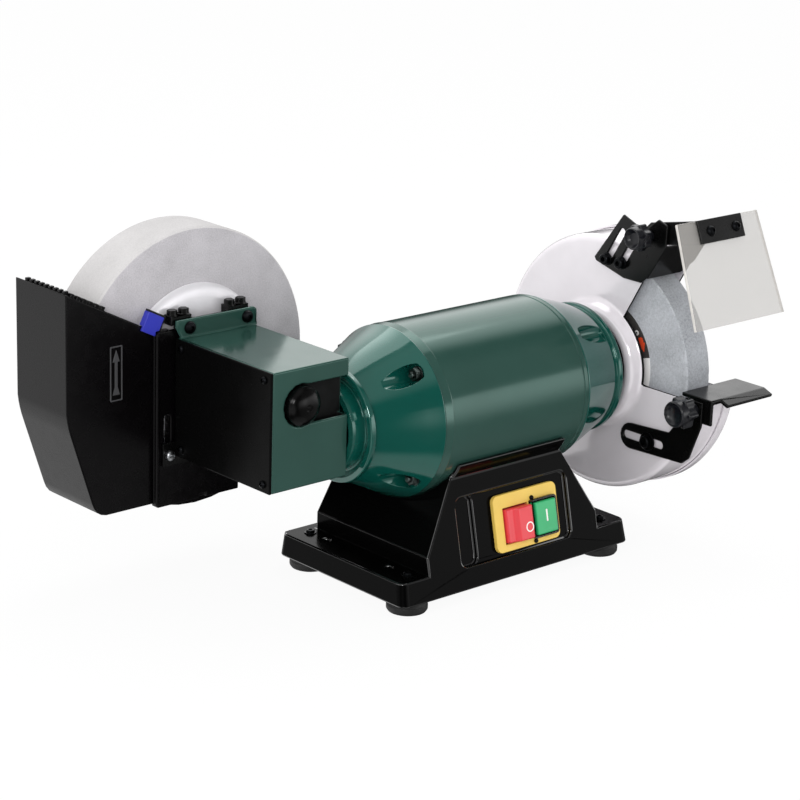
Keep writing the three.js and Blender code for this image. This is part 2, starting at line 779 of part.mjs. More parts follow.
function sparkArrestor() {
  const [dy, dz] = [foldHigh[0] - foldLow[0], foldHigh[1] - foldLow[1]];
  const length = Math.hypot(dy, dz);
  const out = [(-dz / length) * sheet, (dy / length) * sheet];
  const within = ([y, z]) => [y + out[0] / 2, z + out[1] / 2];
  const plate = slab('yz', [
    ...[[-22.6, 121.1], [-44, 112.5], [-58, 124], [-67.5, 120.7]].map(onAxis),
    within(foldHigh), within(foldLow),
    ...[[-44, 72.4], [-26, 72.5], [3.2, 80.3], [5, 83]].map(onAxis),
  ], plateX, plateX + sheet);
  const tongue = slab('yz', [
    foldLow, foldHigh, [foldHigh[0] + out[0], foldHigh[1] + out[1]],
    [foldLow[0] + out[0], foldLow[1] + out[1]],
  ], plateX, tongueEnd);
  const corner = slab('xz', [
    [tongueEnd - 12, foldLow[1] - 5], [tongueEnd + 5, foldLow[1] - 5], [tongueEnd + 5, foldLow[1] + 14],
  ], -guardRadius, 0);
  const slots = arrestorScrews.map(([y, z]) => slab('yz', slotOutline(
    y, z, y + arrestorSlot * Math.cos(arrestorAngle), z + arrestorSlot * Math.sin(arrestorAngle),
    2.5 + gap,
  ), plateX - 1, guardNear));
  const hole = turnedX(disc(knobShank + gap, plateX - 1, guardNear), ...shieldPivot, small);
  return cut(join(plate, cut(tongue, corner)), ...slots, hole);
}

const shieldTop = onAxis([-96, 130.5]);
const shieldTilt = -22 * turn;
const shieldHeight = 79;
const shieldThickness = 2.5;
const shieldLeft = 118;
const shieldRight = 206;
const shieldFlare = 5; // how much further each lower corner stands out
const clampLeft = 137;
const clampRight = 185;
const clampHeight = 17.5;
const shieldFrame = new THREE.Group();
shieldFrame.position.set(0, ...shieldTop);
shieldFrame.rotation.x = shieldTilt;
shieldFrame.updateMatrix();

/** Arm: a strip beside the arrestor that turns through a right angle behind the shield. */
function shieldArm() {
  const flangeBack = shieldThickness + gap;
  const flange = block(armX, clampRight, flangeBack, flangeBack + sheet, -clampHeight, 0)
    .applyMatrix4(shieldFrame.matrix);
  const corner = (y, z) => new THREE.Vector3(0, y, z).applyMatrix4(shieldFrame.matrix);
  const top = corner(flangeBack + sheet / 2, 0);
  const low = corner(flangeBack + sheet / 2, -clampHeight);
  const [py, pz] = shieldPivot;
  const strip = slab('yz', [
    [top.y, top.z], [low.y, low.z], [py - 4, pz - 7], [py + 4, pz - 7], [py + 8, pz - 2],
    [py + 8, pz + 4], [py + 3, pz + 9],
  ].reverse(), armX, armX + sheet);
  const hole = turnedX(disc(knobShank + gap, armX - 1, armX + sheet + 1), py, pz, small);
  return cut(join(strip, flange), hole);
}

/** Lobed clamp knob on a shank along X; the grip lies left of the plate that it clamps. */
function clampKnob([y, z], radius, lobes, gripStart, gripEnd, shankEnd) {
  const outline = [];
  const count = lobes * 6;
  for (let i = 0; i < count; i += 1) {
    const angle = (i / count) * Math.PI * 2;
    const r = radius * (0.88 + 0.12 * Math.cos(lobes * angle));
    outline.push([r * Math.cos(angle), r * Math.sin(angle)]);
  }
  const grip = slab('yz', outline, gripStart, gripEnd).translate(0, y, z);
  const seat = plateX - gap;
  const stem = turnedX([
    [0, gripEnd - 2], [radius * 0.55, gripEnd - 2], [radius * 0.55, seat], [knobShank, seat],
    [knobShank, shankEnd], [0, shankEnd],
  ], y, z, small);
  return join(grip, stem);
}

add('spark_arrestor', sparkArrestor(), BLACK);
add('shield_arm', shieldArm(), BLACK);
group.add(shieldFrame);
add('eye_shield', slab('xz', [
  [shieldLeft, 0], [shieldLeft - shieldFlare, -shieldHeight],
  [shieldRight + shieldFlare, -shieldHeight], [shieldRight, 0],
], 0, shieldThickness), [0xf2f2f0, 0.1, 0], shieldFrame);
add('shield_clamp', block(
  clampLeft, clampRight, -gap - sheet, -gap, -clampHeight, 0,
), BLACK, shieldFrame);
add('shield_knob', clampKnob(shieldPivot, 10.3, 7, 123, 132, armX + sheet + 2), BLACK);

// --------------------------------------------------------------------------- tool rest

const restPivot = onAxis([-105, -11.5]);
const tableInner = -(wheelRadius + wheelClearance);
const tableTop = axisHeight - 2;
const tableThickness = 3;
const tableFront = -119;
const tableRight = 203;
const lipInset = 10; // the lip starts this far from the table's left edge

function restBracket() {
  const plate = slab('yz', [
    [-42.8, -58.8], [-96.2, -56.6], [-102.6, -51.2], [-113, -22.6], [-113, -5], [-95, -5],
    [-93, -21], [-81.6, -36], [-42.8, -38.4],
  ].map(onAxis), plateX, plateX + sheet);
  const end = turnedX(disc(10.2, plateX, plateX + sheet), ...onAxis([-42.8, -48.6]), medium);
  const slot = slab('yz', slotOutline(
    ...onAxis([-73.4, -48.1]), ...onAxis([-39, -48.1]), 2.5 + gap + 0.4,
  ), plateX - 1, guardNear);
  const hole = turnedX(disc(knobShank + gap, plateX - 1, guardNear), ...restPivot, small);
  return cut(join(plate, end), slot, hole);
}

/** Table with its front lip bent down and an ear that turns on the knob's shank. */
function restTable() {
  const bottom = tableTop - tableThickness;
  const top = slab('yz', [
    [tableInner, tableTop], [tableInner, bottom], [tableFront + 1, bottom],
    [tableFront - 7, bottom - 3], [tableFront - 8.5, bottom - 0.5], [tableFront, tableTop],
  ], armX, tableRight);
  const [py, pz] = restPivot;
  const ear = slab('yz', [
    [py + 5.2, bottom + 1], [py + 5.2, pz], [py + 3, pz - 7], [py + 1, pz - 10.3],
    [tableFront - 1, pz - 10.3], [tableFront - 1, bottom + 1],
  ], armX, armX + sheet + 0.5);
  const lipStart = block(
    armX - 1, armX + lipInset, tableFront - 12, tableFront - 1, bottom - 10, tableTop + 1,
  );
  const hole = turnedX(disc(knobShank + gap, armX - 1, armX + sheet + 2), ...restPivot, small);
  return cut(join(top, ear), lipStart, hole);
}

add('rest_bracket', restBracket(), BLACK);
add('rest_table', restTable(), BLACK);
add('rest_knob', clampKnob(restPivot, 12.2, 6, 119, 132, armX + sheet + 3), BLACK);

// --------------------------------------------------------------------------- gearbox

const bridgeBack = boxFront + 12;
const capFront = boxFront - 4;
const holeHeight = 1.2; // room of the slot around the cap

function gearboxHousing() {
  const left = boxLeft + sheet;
  const shell = cut(
    block(left, boxRight, boxFront, boxBack, boxBottom, boxTop),
    block(left - 1, boxRight - boxWall, boxFront + boxWall, boxBack - boxWall,
      boxBottom + boxWall, boxTop - boxWall),
  );
  const bridge = block(left + 2, boxRight - 1, bridgeBack - 4, bridgeBack, boxBottom + 1, boxTop - 1);
  const flange = slab('xz', [
    [boxLeft + 4, boxTop - 1], [boxRight + 1.5, boxTop - 1], [boxRight + 1.5, railTop - 2],
    [boxRight - 1, railTop], [boxLeft - 1, railTop], [boxLeft - 1, boxTop + 8],
  ], boxBack - boxWall, boxBack);
  const slotRadius = capRadius + gap;
  const slot = join(
    turnedY(disc(slotRadius, boxFront - 1, boxFront + boxWall + 1), wetX, wetZ, medium),
    block(wetX, boxRight + 1, boxFront - 1, boxFront + boxWall + 1,
      wetZ - slotRadius + holeHeight, wetZ + slotRadius - holeHeight),
    block(boxRight - boxWall - 1, boxRight + 1, boxFront - 1, bridgeBack - 4,
      wetZ - slotRadius + holeHeight, wetZ + slotRadius - holeHeight),
  );
  const bush = turnedY(disc(bushRadius + gap, bridgeBack - 5, boxBack + 1), wetX, wetZ, medium);
  const worm = turnedX(disc(shaftRadius + 2, boxRight - boxWall - 1, boxRight + 1), 0, axisHeight, medium);
  return cut(join(shell, bridge, flange), slot, bush, worm);
}

function gearboxCover() {
  const plate = block(boxLeft, boxLeft + sheet, boxFront, boxBack, boxBottom, boxTop);
  const seat = boxLeft + sheet;
  const boss = turnedX(disc(shaftRadius + 5, seat - 1, seat + 11), 0, axisHeight, medium);
  const bore = turnedX(disc(shaftRadius + gap, seat, seat + 12), 0, axisHeight, medium);
  return cut(join(plate, boss), bore);
}

function shaftCap() {
  return turnedY([
    [0, capFront - 5], [5, capFront - 4.6], [10, capFront - 2.6], [13.5, capFront],
    [capRadius, capFront + 3], [capRadius, boxFront + boxWall], [8, boxFront + boxWall],
    [8, bridgeBack - 4 - gap], [0, bridgeBack - 4 - gap],
  ], wetX, wetZ, medium);
}

function frontBush() {
  const inner = wetShaftRadius + gap / 2;
  return turnedY([
    [inner, bridgeBack - 4], [bushRadius, bridgeBack - 4], [bushRadius, bridgeBack + gap],
    [bushRadius + 3, bridgeBack + gap], [bushRadius + 3, bridgeBack + 2.2],
    [inner, bridgeBack + 2.2], [inner, bridgeBack - 4],
  ], wetX, wetZ, medium);
}

function rearBush() {
  const inner = wetShaftRadius + gap / 2;
  const seat = boxBack - boxWall - gap;
  return turnedY([
    [inner, seat - 5], [bushRadius + 4, seat - 5], [bushRadius + 4, seat], [bushRadius, seat],
    [bushRadius, boxBack + 1], [inner, boxBack + 1], [inner, seat - 5],
  ], wetX, wetZ, medium);
}

const hangerBack = boxBack + sheet;

/** Steel plate behind the gearbox with the lug that the tank hangs from. */
function tankHanger() {
  const plate = slab('xz', [
    [panelLeft + 3, slotScrewZ - 8], [boxRight - 8, slotScrewZ - 8], [boxRight - 8, 140],
    [boxLeft + 6, 140], [boxLeft + 6, slotScrewZ + 9], [panelLeft + 3, slotScrewZ + 9],
  ], boxBack, hangerBack);
  const hole = turnedY(disc(2.5 + gap, boxBack - 1, hangerBack + 1), slotX, slotScrewZ, small);
  return cut(plate, hole);
}

function tankScrew() {
  const seat = boxBack - gap;
  return turnedY([
    [0, seat - 3.5], [3, seat - 3.5], [3.6, seat - 2.8], [3.6, seat], [2.5, seat],
    [2.5, tankFront + tankWall + 1], [0, tankFront + tankWall + 1],
  ], slotX, slotScrewZ, small);
}

/** Black rail behind the gearbox flange with two clamp blocks and their bolt heads. */
function restRail() {
  const front = boxBack + gap;
  const low = tankRim + gap;
  const strip = block(boxLeft + 0.5, boxRight - 7, front, front + 3, low, railTop - 1);
  const clamps = [boxLeft + 5.5, boxRight - 13].map((x) => (
    block(x - 9, x + 9, front, front + 9, railTop - 4, railTop + 2.5)
  ));
  const heads = [boxLeft + 0.5, boxLeft + 10.5, boxRight - 18, boxRight - 8].map((x) => (
    turnedZ(disc(4, railTop, railTop + 6.5), x, front + 4.5, 6)
  ));
  return join(strip, ...clamps, ...heads);
}

add('gearbox_housing', gearboxHousing(), GREEN);
add('gearbox_cover', gearboxCover(), BLACK);
add('shaft_cap', shaftCap(), BLACK);
add('front_bush', frontBush(), [0xb08d4a, 0.4, 0.8]);
add('rear_bush', rearBush(), [0xb08d4a, 0.4, 0.8]);
add('tank_hanger', tankHanger(), BLACK);
add('tank_screw', tankScrew(), BLACK);
add('rest_rail', restRail(), BLACK);

// ------------------------------------------------------------ wet shaft, gear and stone

const wetFar = wetNear + wetWidth;
const wetNutEnd = wetFar + gap + 7;

function wetShaft() {
  return turnedY([
    [0, bridgeBack - 4], [wetShaftRadius, bridgeBack - 4], [wetShaftRadius, wetNutEnd],
    [0, wetNutEnd],
  ], wetX, wetZ, medium);
}

/** Gear whose teeth follow the lead of the worm across its width. */
function wormGear() {
  const root = pitchRadius - dedendum;
  const tip = pitchRadius + addendum;
  const rootHalf = (threadHalf + dedendum * pressure) / root;
  const tipHalf = (threadHalf - addendum * pressure) / tip;
  const outline = [];
  for (let i = 0; i < gearTeeth; i += 1) {
    const middle = ((i + 0.5) / gearTeeth) * Math.PI * 2 - Math.PI / 2;
    [[-rootHalf, root], [-tipHalf, tip], [tipHalf, tip], [rootHalf, root]].forEach(([a, r]) => {
      outline.push([r * Math.cos(middle + a), r * Math.sin(middle + a)]);
    });
  }
  const geometry = slab('xz', outline, -gearWidth / 2, gearWidth / 2);
  const p = geometry.getAttribute('position');
  const lead = threadPitch / (2 * Math.PI * wormPitchRadius) / pitchRadius;
  const point = new THREE.Vector3();
  for (let i = 0; i < p.count; i += 1) {
    point.fromBufferAttribute(p, i).applyAxisAngle(new THREE.Vector3(0, 1, 0), lead * p.getY(i));
    p.setXYZ(i, point.x, point.y, point.z);
  }
  const hub = turnedY(disc(13, -gearWidth / 2 + 1, gearWidth / 2 + 8), 0, 0, medium);
  const bore = turnedY(disc(wetShaftRadius + gap / 2, -gearWidth, gearWidth * 2), 0, 0, medium);
  return cut(join(geometry, hub), bore).translate(wetX, 0, wetZ);
}

const domeRadius = 26;
const dishFront = wetNear - gap - 9;
const panelClearance = 0.8; // between the turning dish and the tank's panel

/** Dished flange: a hub, a raised middle and a wide rim that bears on the stone. */
function dishFlange() {
  const bore = wetShaftRadius + gap / 2;
  const face = wetNear - gap;
  return turnedY([
    [bore, face], [bore, dishFront], [domeRadius - 6, dishFront], [domeRadius, face - 5],
    [dishRadius - 9, face - 3.8], [dishRadius, face - 1.2], [dishRadius, face],
    [dishRadius - 8, face], [domeRadius, face - 2.4], [bore + 6, face - 4], [bore + 6, face],
    [bore, face],
  ]);
}

function wetWheel() {
  const bevel = 1.2;
  const bore = wetShaftRadius + gap / 2;
  return turnedY([
    [bore, wetNear], [wetRadius - bevel, wetNear], [wetRadius, wetNear + bevel],
    [wetRadius, wetFar - bevel], [wetRadius - bevel, wetFar], [bore, wetFar], [bore, wetNear],
  ], wetX, wetZ, wide);
}

function wetFlangeNut() {
  const bore = wetShaftRadius + gap / 2;
  const flange = turnedY(ring(bore, 30, wetFar + gap, wetFar + gap + 2.5), wetX, wetZ, medium + 8);
  const nut = turnedY(disc(11, wetFar + gap + 1, wetNutEnd - 0.5), wetX, wetZ, 6);
  return cut(join(flange, nut), turnedY(disc(bore, wetFar, wetNutEnd + 1), wetX, wetZ, medium));
}

add('wet_shaft', wetShaft(), STEEL);
add('worm_gear', wormGear(), [0xb08d4a, 0.4, 0.8]);
add('dish_flange', dishFlange(), SILVER);
add('wet_wheel', wetWheel(), STONE);
add('wet_flange_nut', wetFlangeNut(), STEEL);

// ---------------------------------------------------------------------- tank and wiper

/** Outline of the tank seen from the front, moved in by a wall where it is the hollow. */
function tankOutline(inset) {
  const floor = tankFloor + inset;
  const left = tankLeft + inset;
  const right = tankRight - inset;
  const high = inset ? 40 : 0;
  const shape = new THREE.Shape();
  shape.moveTo(left, tankLeftTop + high);
  shape.lineTo(left, 145);
  shape.quadraticCurveTo(left + 1, 135, left + 5, 124);
  shape.lineTo(left + 21, 76);
  shape.quadraticCurveTo(left + 24, floor + 1, left + 33, floor);
  shape.lineTo(right - 26, floor);
  shape.quadraticCurveTo(right - 14, floor + 3, right - 8, 86);
  shape.lineTo(right, 120);
  shape.lineTo(right, tankRightRim + high);
  if (inset) {
    shape.lineTo(right, tankLeftTop + high);
  } else {
    shape.lineTo(panelRight + 15, tankRightRim + 5);
    shape.lineTo(panelRight, tankRim);
    shape.lineTo(panelLeft, tankRim);
  }
  return shape;
}

/** Round belly of the floor under the stone, or its hollow where the wall is taken off. */
function tankSump(wall, from, to) {
  const blank = turnedY(disc(wetRadius + sumpClearance + wall, from, to), wetX, wetZ, wide);
  return common(blank, block(tankLeft, tankRight, from - 1, to + 1, 0, tankFloor + tankWall + 1));
}

/** Tank: a deep hollow, a panel stepped forward at the hanger, and a slot for height. */
function waterTank() {
  const outer = join(
    slab('xz', tankOutline(0), tankFront, tankBack), tankSump(sumpWall, sumpFront, tankBack),
  );
  const inner = join(
    slab('xz', tankOutline(tankWall), tankFront + tankWall, tankBack - tankWall),
    tankSump(0, sumpFront + sumpWall, tankBack - tankWall),
  );
  const panel = slab('xz', [
    [panelLeft, tankFloor - 2.2], [panelRight, tankFloor - 2.2], [panelRight, tankRim],
    [panelLeft, tankRim],
  ], hangerBack + gap, tankFront + tankWall);
  const lowered = slotScrewZ + tankTravel + 3;
  const slot = slab('xz', slotOutline(slotX, slotScrewZ, slotX, lowered - 2, 2.5 + gap),
    hangerBack - 1, tankFront + tankWall + 1);
  const openTop = (radius, from, to) => {
    const shape = new THREE.Shape();
    shape.moveTo(wetX - radius, tankLeftTop);
    shape.lineTo(wetX - radius, wetZ);
    shape.absarc(wetX, wetZ, radius, Math.PI, Math.PI * 2, false);
    shape.lineTo(wetX + radius, tankLeftTop);
    return slab('xz', shape, from, to, 10);
  };
  const dome = openTop(domeRadius + 2.5, dishFront - panelClearance, tankFront + tankWall + 1);
  const passage = openTop(bushRadius + 4, hangerBack - 1, tankFront);
  const backRimLeft = tankLeft + tankWall;
  const backRim = slab('xz', [
    [backRimLeft, tankLeftTop - 8], [tankLeft + 40, tankRim - 10], [tankRight + 1, tankRim - 10],
    [tankRight + 1, tankLeftTop + 9], [backRimLeft, tankLeftTop + 9],
  ], tankBack - tankWall - 1, tankBack + 1);
  return cut(cut(join(outer, panel), inner), slot, dome, passage, backRim);
}

const rimSlope = Math.atan2(tankRim - tankLeftTop, panelLeft - tankLeft);
const wiperSize = 14.5;
const wiperReach = 2.2; // how far it passes the corner of the rim
const wiperLap = 3.2; // how far the wiper reaches below the rim

/** Plastic wiper: a tilted square that laps over the rim where its slope ends. */
function wheelWiper() {
  const inner = tankFront - gap;
  const outer = tankFront + tankWall + gap;
  const square = slab('xz', [
    [wiperReach - wiperSize, -wiperLap], [wiperReach, -wiperLap],
    [wiperReach, wiperSize - wiperLap], [wiperReach - wiperSize, wiperSize - wiperLap],
  ], inner - 2, tankFront + tankWall).rotateY(-rimSlope).translate(panelLeft, 0, tankRim);
  const rim = block(-wiperSize * 2, wiperSize, inner, outer, -wiperSize, gap)
    .rotateY(-rimSlope).translate(panelLeft, 0, tankRim);
  const panel = block(panelLeft - gap, panelRight, inner - 3, outer + 3, 0, tankRim + gap);
  return cut(square, rim, panel);
}

add('water_tank', waterTank(), BLACK);
add('wheel_wiper', wheelWiper(), [0x3a3f9e, 0.4, 0]);

// ------------------------------------------------- origin at the middle of the footprint

group.updateMatrixWorld(true);
const bounds = new THREE.Box3().setFromObject(group, true);
const centre = bounds.getCenter(new THREE.Vector3());
group.position.set(-centre.x, -centre.y, -bounds.min.z);
group.updateMatrixWorld(true);

export default group;
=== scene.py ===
"""Bench grinder with a dry wheel and a slow wet stone: its visible pieces, made round the frame.

Places are written in millimetres in the maker's layout: x = 0 is the middle of the base,
y = 0 the motor's axis and z = 0 the bench. place() turns them into metres in the frame.
"""
import math

import bpy
from mathutils import Matrix, Vector


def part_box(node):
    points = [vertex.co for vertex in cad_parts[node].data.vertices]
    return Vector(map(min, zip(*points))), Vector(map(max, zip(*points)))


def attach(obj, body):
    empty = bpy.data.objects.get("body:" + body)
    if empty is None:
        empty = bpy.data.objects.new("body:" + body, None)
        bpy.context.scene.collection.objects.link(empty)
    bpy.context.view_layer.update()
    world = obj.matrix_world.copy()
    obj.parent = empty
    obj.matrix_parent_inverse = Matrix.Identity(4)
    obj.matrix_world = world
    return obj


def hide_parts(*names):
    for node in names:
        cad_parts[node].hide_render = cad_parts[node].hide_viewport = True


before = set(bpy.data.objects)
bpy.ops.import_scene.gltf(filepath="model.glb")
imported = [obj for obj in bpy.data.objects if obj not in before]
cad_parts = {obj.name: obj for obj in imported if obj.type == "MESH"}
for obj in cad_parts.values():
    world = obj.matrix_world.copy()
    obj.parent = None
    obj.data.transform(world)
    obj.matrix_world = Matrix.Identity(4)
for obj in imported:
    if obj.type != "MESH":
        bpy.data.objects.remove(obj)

bl_info = {
    "name": "Wet and dry bench grinder",
    "version": (1, 0, 0),
    "blender": (4, 5, 0),
    "location": "View3D > Sidebar > Grinder",
    "description": "Builds the visible pieces of a wet and dry bench grinder round its frame",
    "category": "Object",
}

MM = 0.001
AXES = "xyz"
BASE_LOW, BASE_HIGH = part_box("base_casting")
HOUSING_LOW, HOUSING_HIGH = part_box("motor_housing")
START = Vector((
    (BASE_LOW.x + BASE_HIGH.x) / 2, (HOUSING_LOW.y + HOUSING_HIGH.y) / 2, 0.0,
))


# ------------------------------------------------------------------ places in the frame

def place(x, y, z):
    """A place of the maker's layout, in metres in the frame."""
    return START + Vector((x, y, z)) * MM


def low(node, axis):
    """Where a node of the frame starts along an axis, in the maker's layout."""
    i = AXES.index(axis)
    return (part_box(node)[0][i] - START[i]) / MM


def high(node, axis):
    """Where a node of the frame ends along an axis, in the maker's layout."""
    i = AXES.index(axis)
    return (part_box(node)[1][i] - START[i]) / MM


def middle(node, *axes):
    """Middle of a node of the frame along some axes, in the maker's layout."""
    return tuple((low(node, a) + high(node, a)) / 2 for a in axes)


def radius_of(node, axis="z"):
    """Half of a round node's width, in metres."""
    return (high(node, axis) - low(node, axis)) / 2 * MM


MOTOR = middle("motor_housing", "y", "z")
STONE = middle("wet_wheel", "x", "z")
WHEEL_FACE = low("dry_wheel", "x")
WHEEL_BACK = high("dry_wheel", "x")
STONE_FACE = low("wet_wheel", "y")
STONE_BACK = high("wet_wheel", "y")
BORE = 6.2  # radius of the hole through both stones, their flanges and their nuts
FLANGE_TOP = 26.2  # top of the base's flange
TIE_RADIUS = 54.5  # tie rods around the motor's axis
GUARD_RADIUS = 99.4
CUT_RADIUS = 50.0  # where the guard's front opening ends, round the motor's axis
FACE_LEAN = math.radians(12.86)  # the base's front face leans back by this much
SHIELD_LEAN = math.radians(-22)
SHIELD_TOP = (0, -96, 260)


def tone(text):
    """Scene-linear colour of a six-digit hex colour."""
    parts = [int(text[i:i + 2], 16) / 255 for i in (0, 2, 4)]
    return [p / 12.92 if p <= 0.04045 else ((p + 0.055) / 1.055) ** 2.4 for p in parts] + [1.0]


def colour(label, text):
    return bpy.props.FloatVectorProperty(
        name=label, description=f"Colour of the {label.lower()}", subtype="COLOR",
        size=4, min=0.0, max=1.0, default=tone(text),
    )


def length(label, description, default):
    return bpy.props.FloatProperty(
        name=label, description=description, subtype="DISTANCE", unit="LENGTH",
        min=0.0, default=default,
    )


class GrinderSizes(bpy.types.PropertyGroup):
    """Sizes that may be changed before the pieces are made."""

    housing_radius: length("Housing", "Radius of the motor housing", radius_of("motor_housing"))
    pocket_radius: length("Pockets", "Radius of the tie bolts' pockets in the bells", 7.6 * MM)
    wheel_radius: length("Dry wheel", "Radius of the dry wheel", radius_of("dry_wheel"))
    stone_radius: length("Wet stone", "Radius of the wet stone", radius_of("wet_wheel"))
    dish_radius: length("Dish", "Radius of the dished flange", radius_of("dish_flange"))
    guard_radius: length("Guard", "Radius of the wheel guard", GUARD_RADIUS * MM)
    blotter_radius: length("Blotter", "Radius of the paper washer on the dry wheel", 50 * MM)
    rest_knob: length("Rest knob", "Radius of the tool rest's knob", 12.4 * MM)
    shield_knob: length("Shield knob", "Radius of the eye shield's knob", 10.6 * MM)
    tooth_pitch: length("Tank teeth", "Spacing of the teeth along the tank's rim", 5.6 * MM)
    cast_edge: length("Cast edges", "Rounding of the cast base's edges", 1.1 * MM)
    sheet_edge: length("Sheet edges", "Rounding of the bent sheet steel's edges", 1.2 * MM)


class GrinderColours(bpy.types.PropertyGroup):
    """Colours of the paints, plastics and stones."""

    green: colour("Green paint", "2e4f47")
    bell: colour("Bell paint", "0a5046")
    cast: colour("Cast base", "040404")
    plate: colour("Black plates", "060606")
    plastic: colour("Tank plastic", "050405")
    guard: colour("Guard paint", "e8e3e8")
    stone: colour("Wet stone", "bdbabe")
    grit: colour("Dry wheel", "b4b7bc")
    yellow: colour("Switch plate", "e8c45c")
    red: colour("Stop button", "d8323c")
    start: colour("Start button", "1fa766")
    blue: colour("Wiper", "2b31a8")
    arrow: colour("Arrow", "e8502a")


# ------------------------------------------------------------------------- shaping tools

def only(*pieces):
    """Selects these pieces alone, the first one active."""
    bpy.ops.object.select_all(action="DESELECT")
    for piece in pieces:
        piece.select_set(True)
    bpy.context.view_layer.objects.active = pieces[0]


def apply_place():
    bpy.ops.object.transform_apply(location=True, rotation=True, scale=True)


def named(piece, name):
    """Gives a piece and its mesh one name."""
    piece.name = name
    piece.data.name = name
    return piece


def modified(piece, kind, **settings):
    """Adds a modifier with these settings to the active piece and applies it."""
    bpy.ops.object.modifier_add(type=kind)
    change = piece.modifiers[-1]
    for name, value in settings.items():
        setattr(change, name, value)
    bpy.ops.object.modifier_apply(modifier=change.name)
    return piece


def close_up():
    """Ends edit mode on a closed shape: doubles merged and faces turned outwards."""
    bpy.ops.mesh.select_all(action="SELECT")
    bpy.ops.mesh.remove_doubles(threshold=MM / 500)
    bpy.ops.mesh.normals_make_consistent(inside=False)
    bpy.ops.object.mode_set(mode="OBJECT")


def trace(name, points):
    """Line drawn from one vertex that is extruded from place to place."""
    bpy.ops.object.select_all(action="DESELECT")
    bpy.ops.mesh.primitive_plane_add(size=MM, location=place(*points[0]))
    piece = named(bpy.context.object, name)
    apply_place()
    bpy.ops.object.mode_set(mode="EDIT")
    bpy.ops.mesh.select_all(action="SELECT")
    bpy.ops.mesh.merge(type="CENTER")
    for here, there in zip(points, points[1:]):
        step = place(*there) - place(*here)
        bpy.ops.mesh.extrude_region_move(TRANSFORM_OT_translate={"value": step})
    bpy.ops.mesh.select_all(action="SELECT")
    return piece


def slab(name, outline, depth):
    """Closed outline, filled and then extruded by a step (x, y, z)."""
    piece = trace(name, outline)
    bpy.ops.mesh.edge_face_add()
    bpy.ops.mesh.extrude_region_move(TRANSFORM_OT_translate={"value": Vector(depth) * MM})
    close_up()
    return piece


def turned(name, profile, axis, centre, steps=96):
    """Profile of (radius, place along the axis), spun about the axis through centre."""
    u, v = centre
    if axis == "x":
        points, hub, way = [(a, u, v + r) for r, a in profile], (0, u, v), (1, 0, 0)
    elif axis == "y":
        points, hub, way = [(u, a, v + r) for r, a in profile], (u, 0, v), (0, 1, 0)
    else:
        points, hub, way = [(u + r, v, a) for r, a in profile], (u, v, 0), (0, 0, 1)
    piece = trace(name, points)
    bpy.ops.mesh.spin(steps=steps, angle=math.tau, center=place(*hub), axis=way)
    close_up()
    return piece


def ring(inner, outer, start, end):
    """Profile of a tube."""
    return [(inner, start), (outer, start), (outer, end), (inner, end), (inner, start)]


def disc(radius, start, end):
    """Profile of a solid round bar."""
    return [(0, start), (radius, start), (radius, end), (0, end)]


def block(name, corner, far_corner):
    """Box between two corners."""
    bpy.ops.object.select_all(action="DESELECT")
    a, b = place(*corner), place(*far_corner)
    bpy.ops.mesh.primitive_cube_add(size=1, location=(a + b) / 2, scale=b - a)
    piece = named(bpy.context.object, name)
    apply_place()
    return piece


def copied(name, node):
    """Merged copy of a frame node with its flat faces made whole, ready for its edges."""
    piece = bpy.data.objects.new(name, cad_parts[node].data.copy())
    piece.data.name = name
    bpy.context.scene.collection.objects.link(piece)
    only(piece)
    bpy.ops.object.mode_set(mode="EDIT")
    bpy.ops.mesh.select_all(action="SELECT")
    bpy.ops.mesh.remove_doubles(threshold=MM / 100)
    bpy.ops.mesh.dissolve_limited(angle_limit=math.radians(0.6))
    bpy.ops.object.mode_set(mode="OBJECT")
    if piece.data.has_custom_normals:
        bpy.ops.mesh.customdata_custom_splitnormals_clear()
    return piece


def cut(piece, *tools):
    """Cuts a piece with tools, which are used up."""
    for tool in tools:
        only(piece)
        modified(piece, "BOOLEAN", operation="DIFFERENCE", solver="EXACT", object=tool)
        bpy.data.objects.remove(tool)
    return piece


def smooth(piece, angle=35):
    only(piece)
    bpy.ops.object.shade_smooth_by_angle(angle=math.radians(angle))
    return piece


def soften(piece, width=0.6, segments=2, angle=35, edge_slot=-1):
    """Smooth shading with rounded edges that catch the light."""
    smooth(piece, angle)
    modified(piece, "BEVEL", width=width * MM, segments=segments, limit_method="ANGLE",
             angle_limit=math.radians(angle), use_clamp_overlap=False, harden_normals=True,
             material=edge_slot)
    return modified(piece, "WEIGHTED_NORMAL", keep_sharp=True, weight=100)


def gathered(name, pieces):
    """Several pieces joined into one."""
    only(*pieces)
    bpy.ops.object.join()
    return named(bpy.context.object, name)


def twin(piece, x=0.0, y=0.0, z=0.0):
    """Copy of a piece with its own mesh, moved by millimetres."""
    only(piece)
    bpy.ops.object.duplicate()
    copy = bpy.context.object
    copy.location = Vector((x, y, z)) * MM
    apply_place()
    return copy


def carried(piece, spot, turn, axis="X"):
    """Moves a piece, drawn about the layout's own origin, to a spot and turns it there."""
    home = place(0, 0, 0)
    piece.matrix_world = (
        Matrix.Translation(place(*spot)) @ Matrix.Rotation(turn, 4, axis)
        @ Matrix.Translation(-home)
    )
    only(piece)
    apply_place()
    return piece


def settle(piece, body, finish, *nodes, slot=None):
    """Gives a finished piece its material, its body and the frame nodes it stands for."""
    piece.data.materials.clear()
    piece.data.materials.append(bpy.data.materials[finish])
    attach(piece, body)
    if nodes:
        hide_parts(*nodes)
    return piece


def pressed(name, node, body, share, segments=2, angle=35, finish="plate_black",
            slot="black_paint"):
    """Piece of bent sheet from its frame node, its edges rounded by a share of the usual."""
    width = bpy.context.scene.grinder_sizes.sheet_edge / MM * share
    piece = soften(copied(name, node), width, segments, angle)
    return settle(piece, body, finish, node, slot=slot)


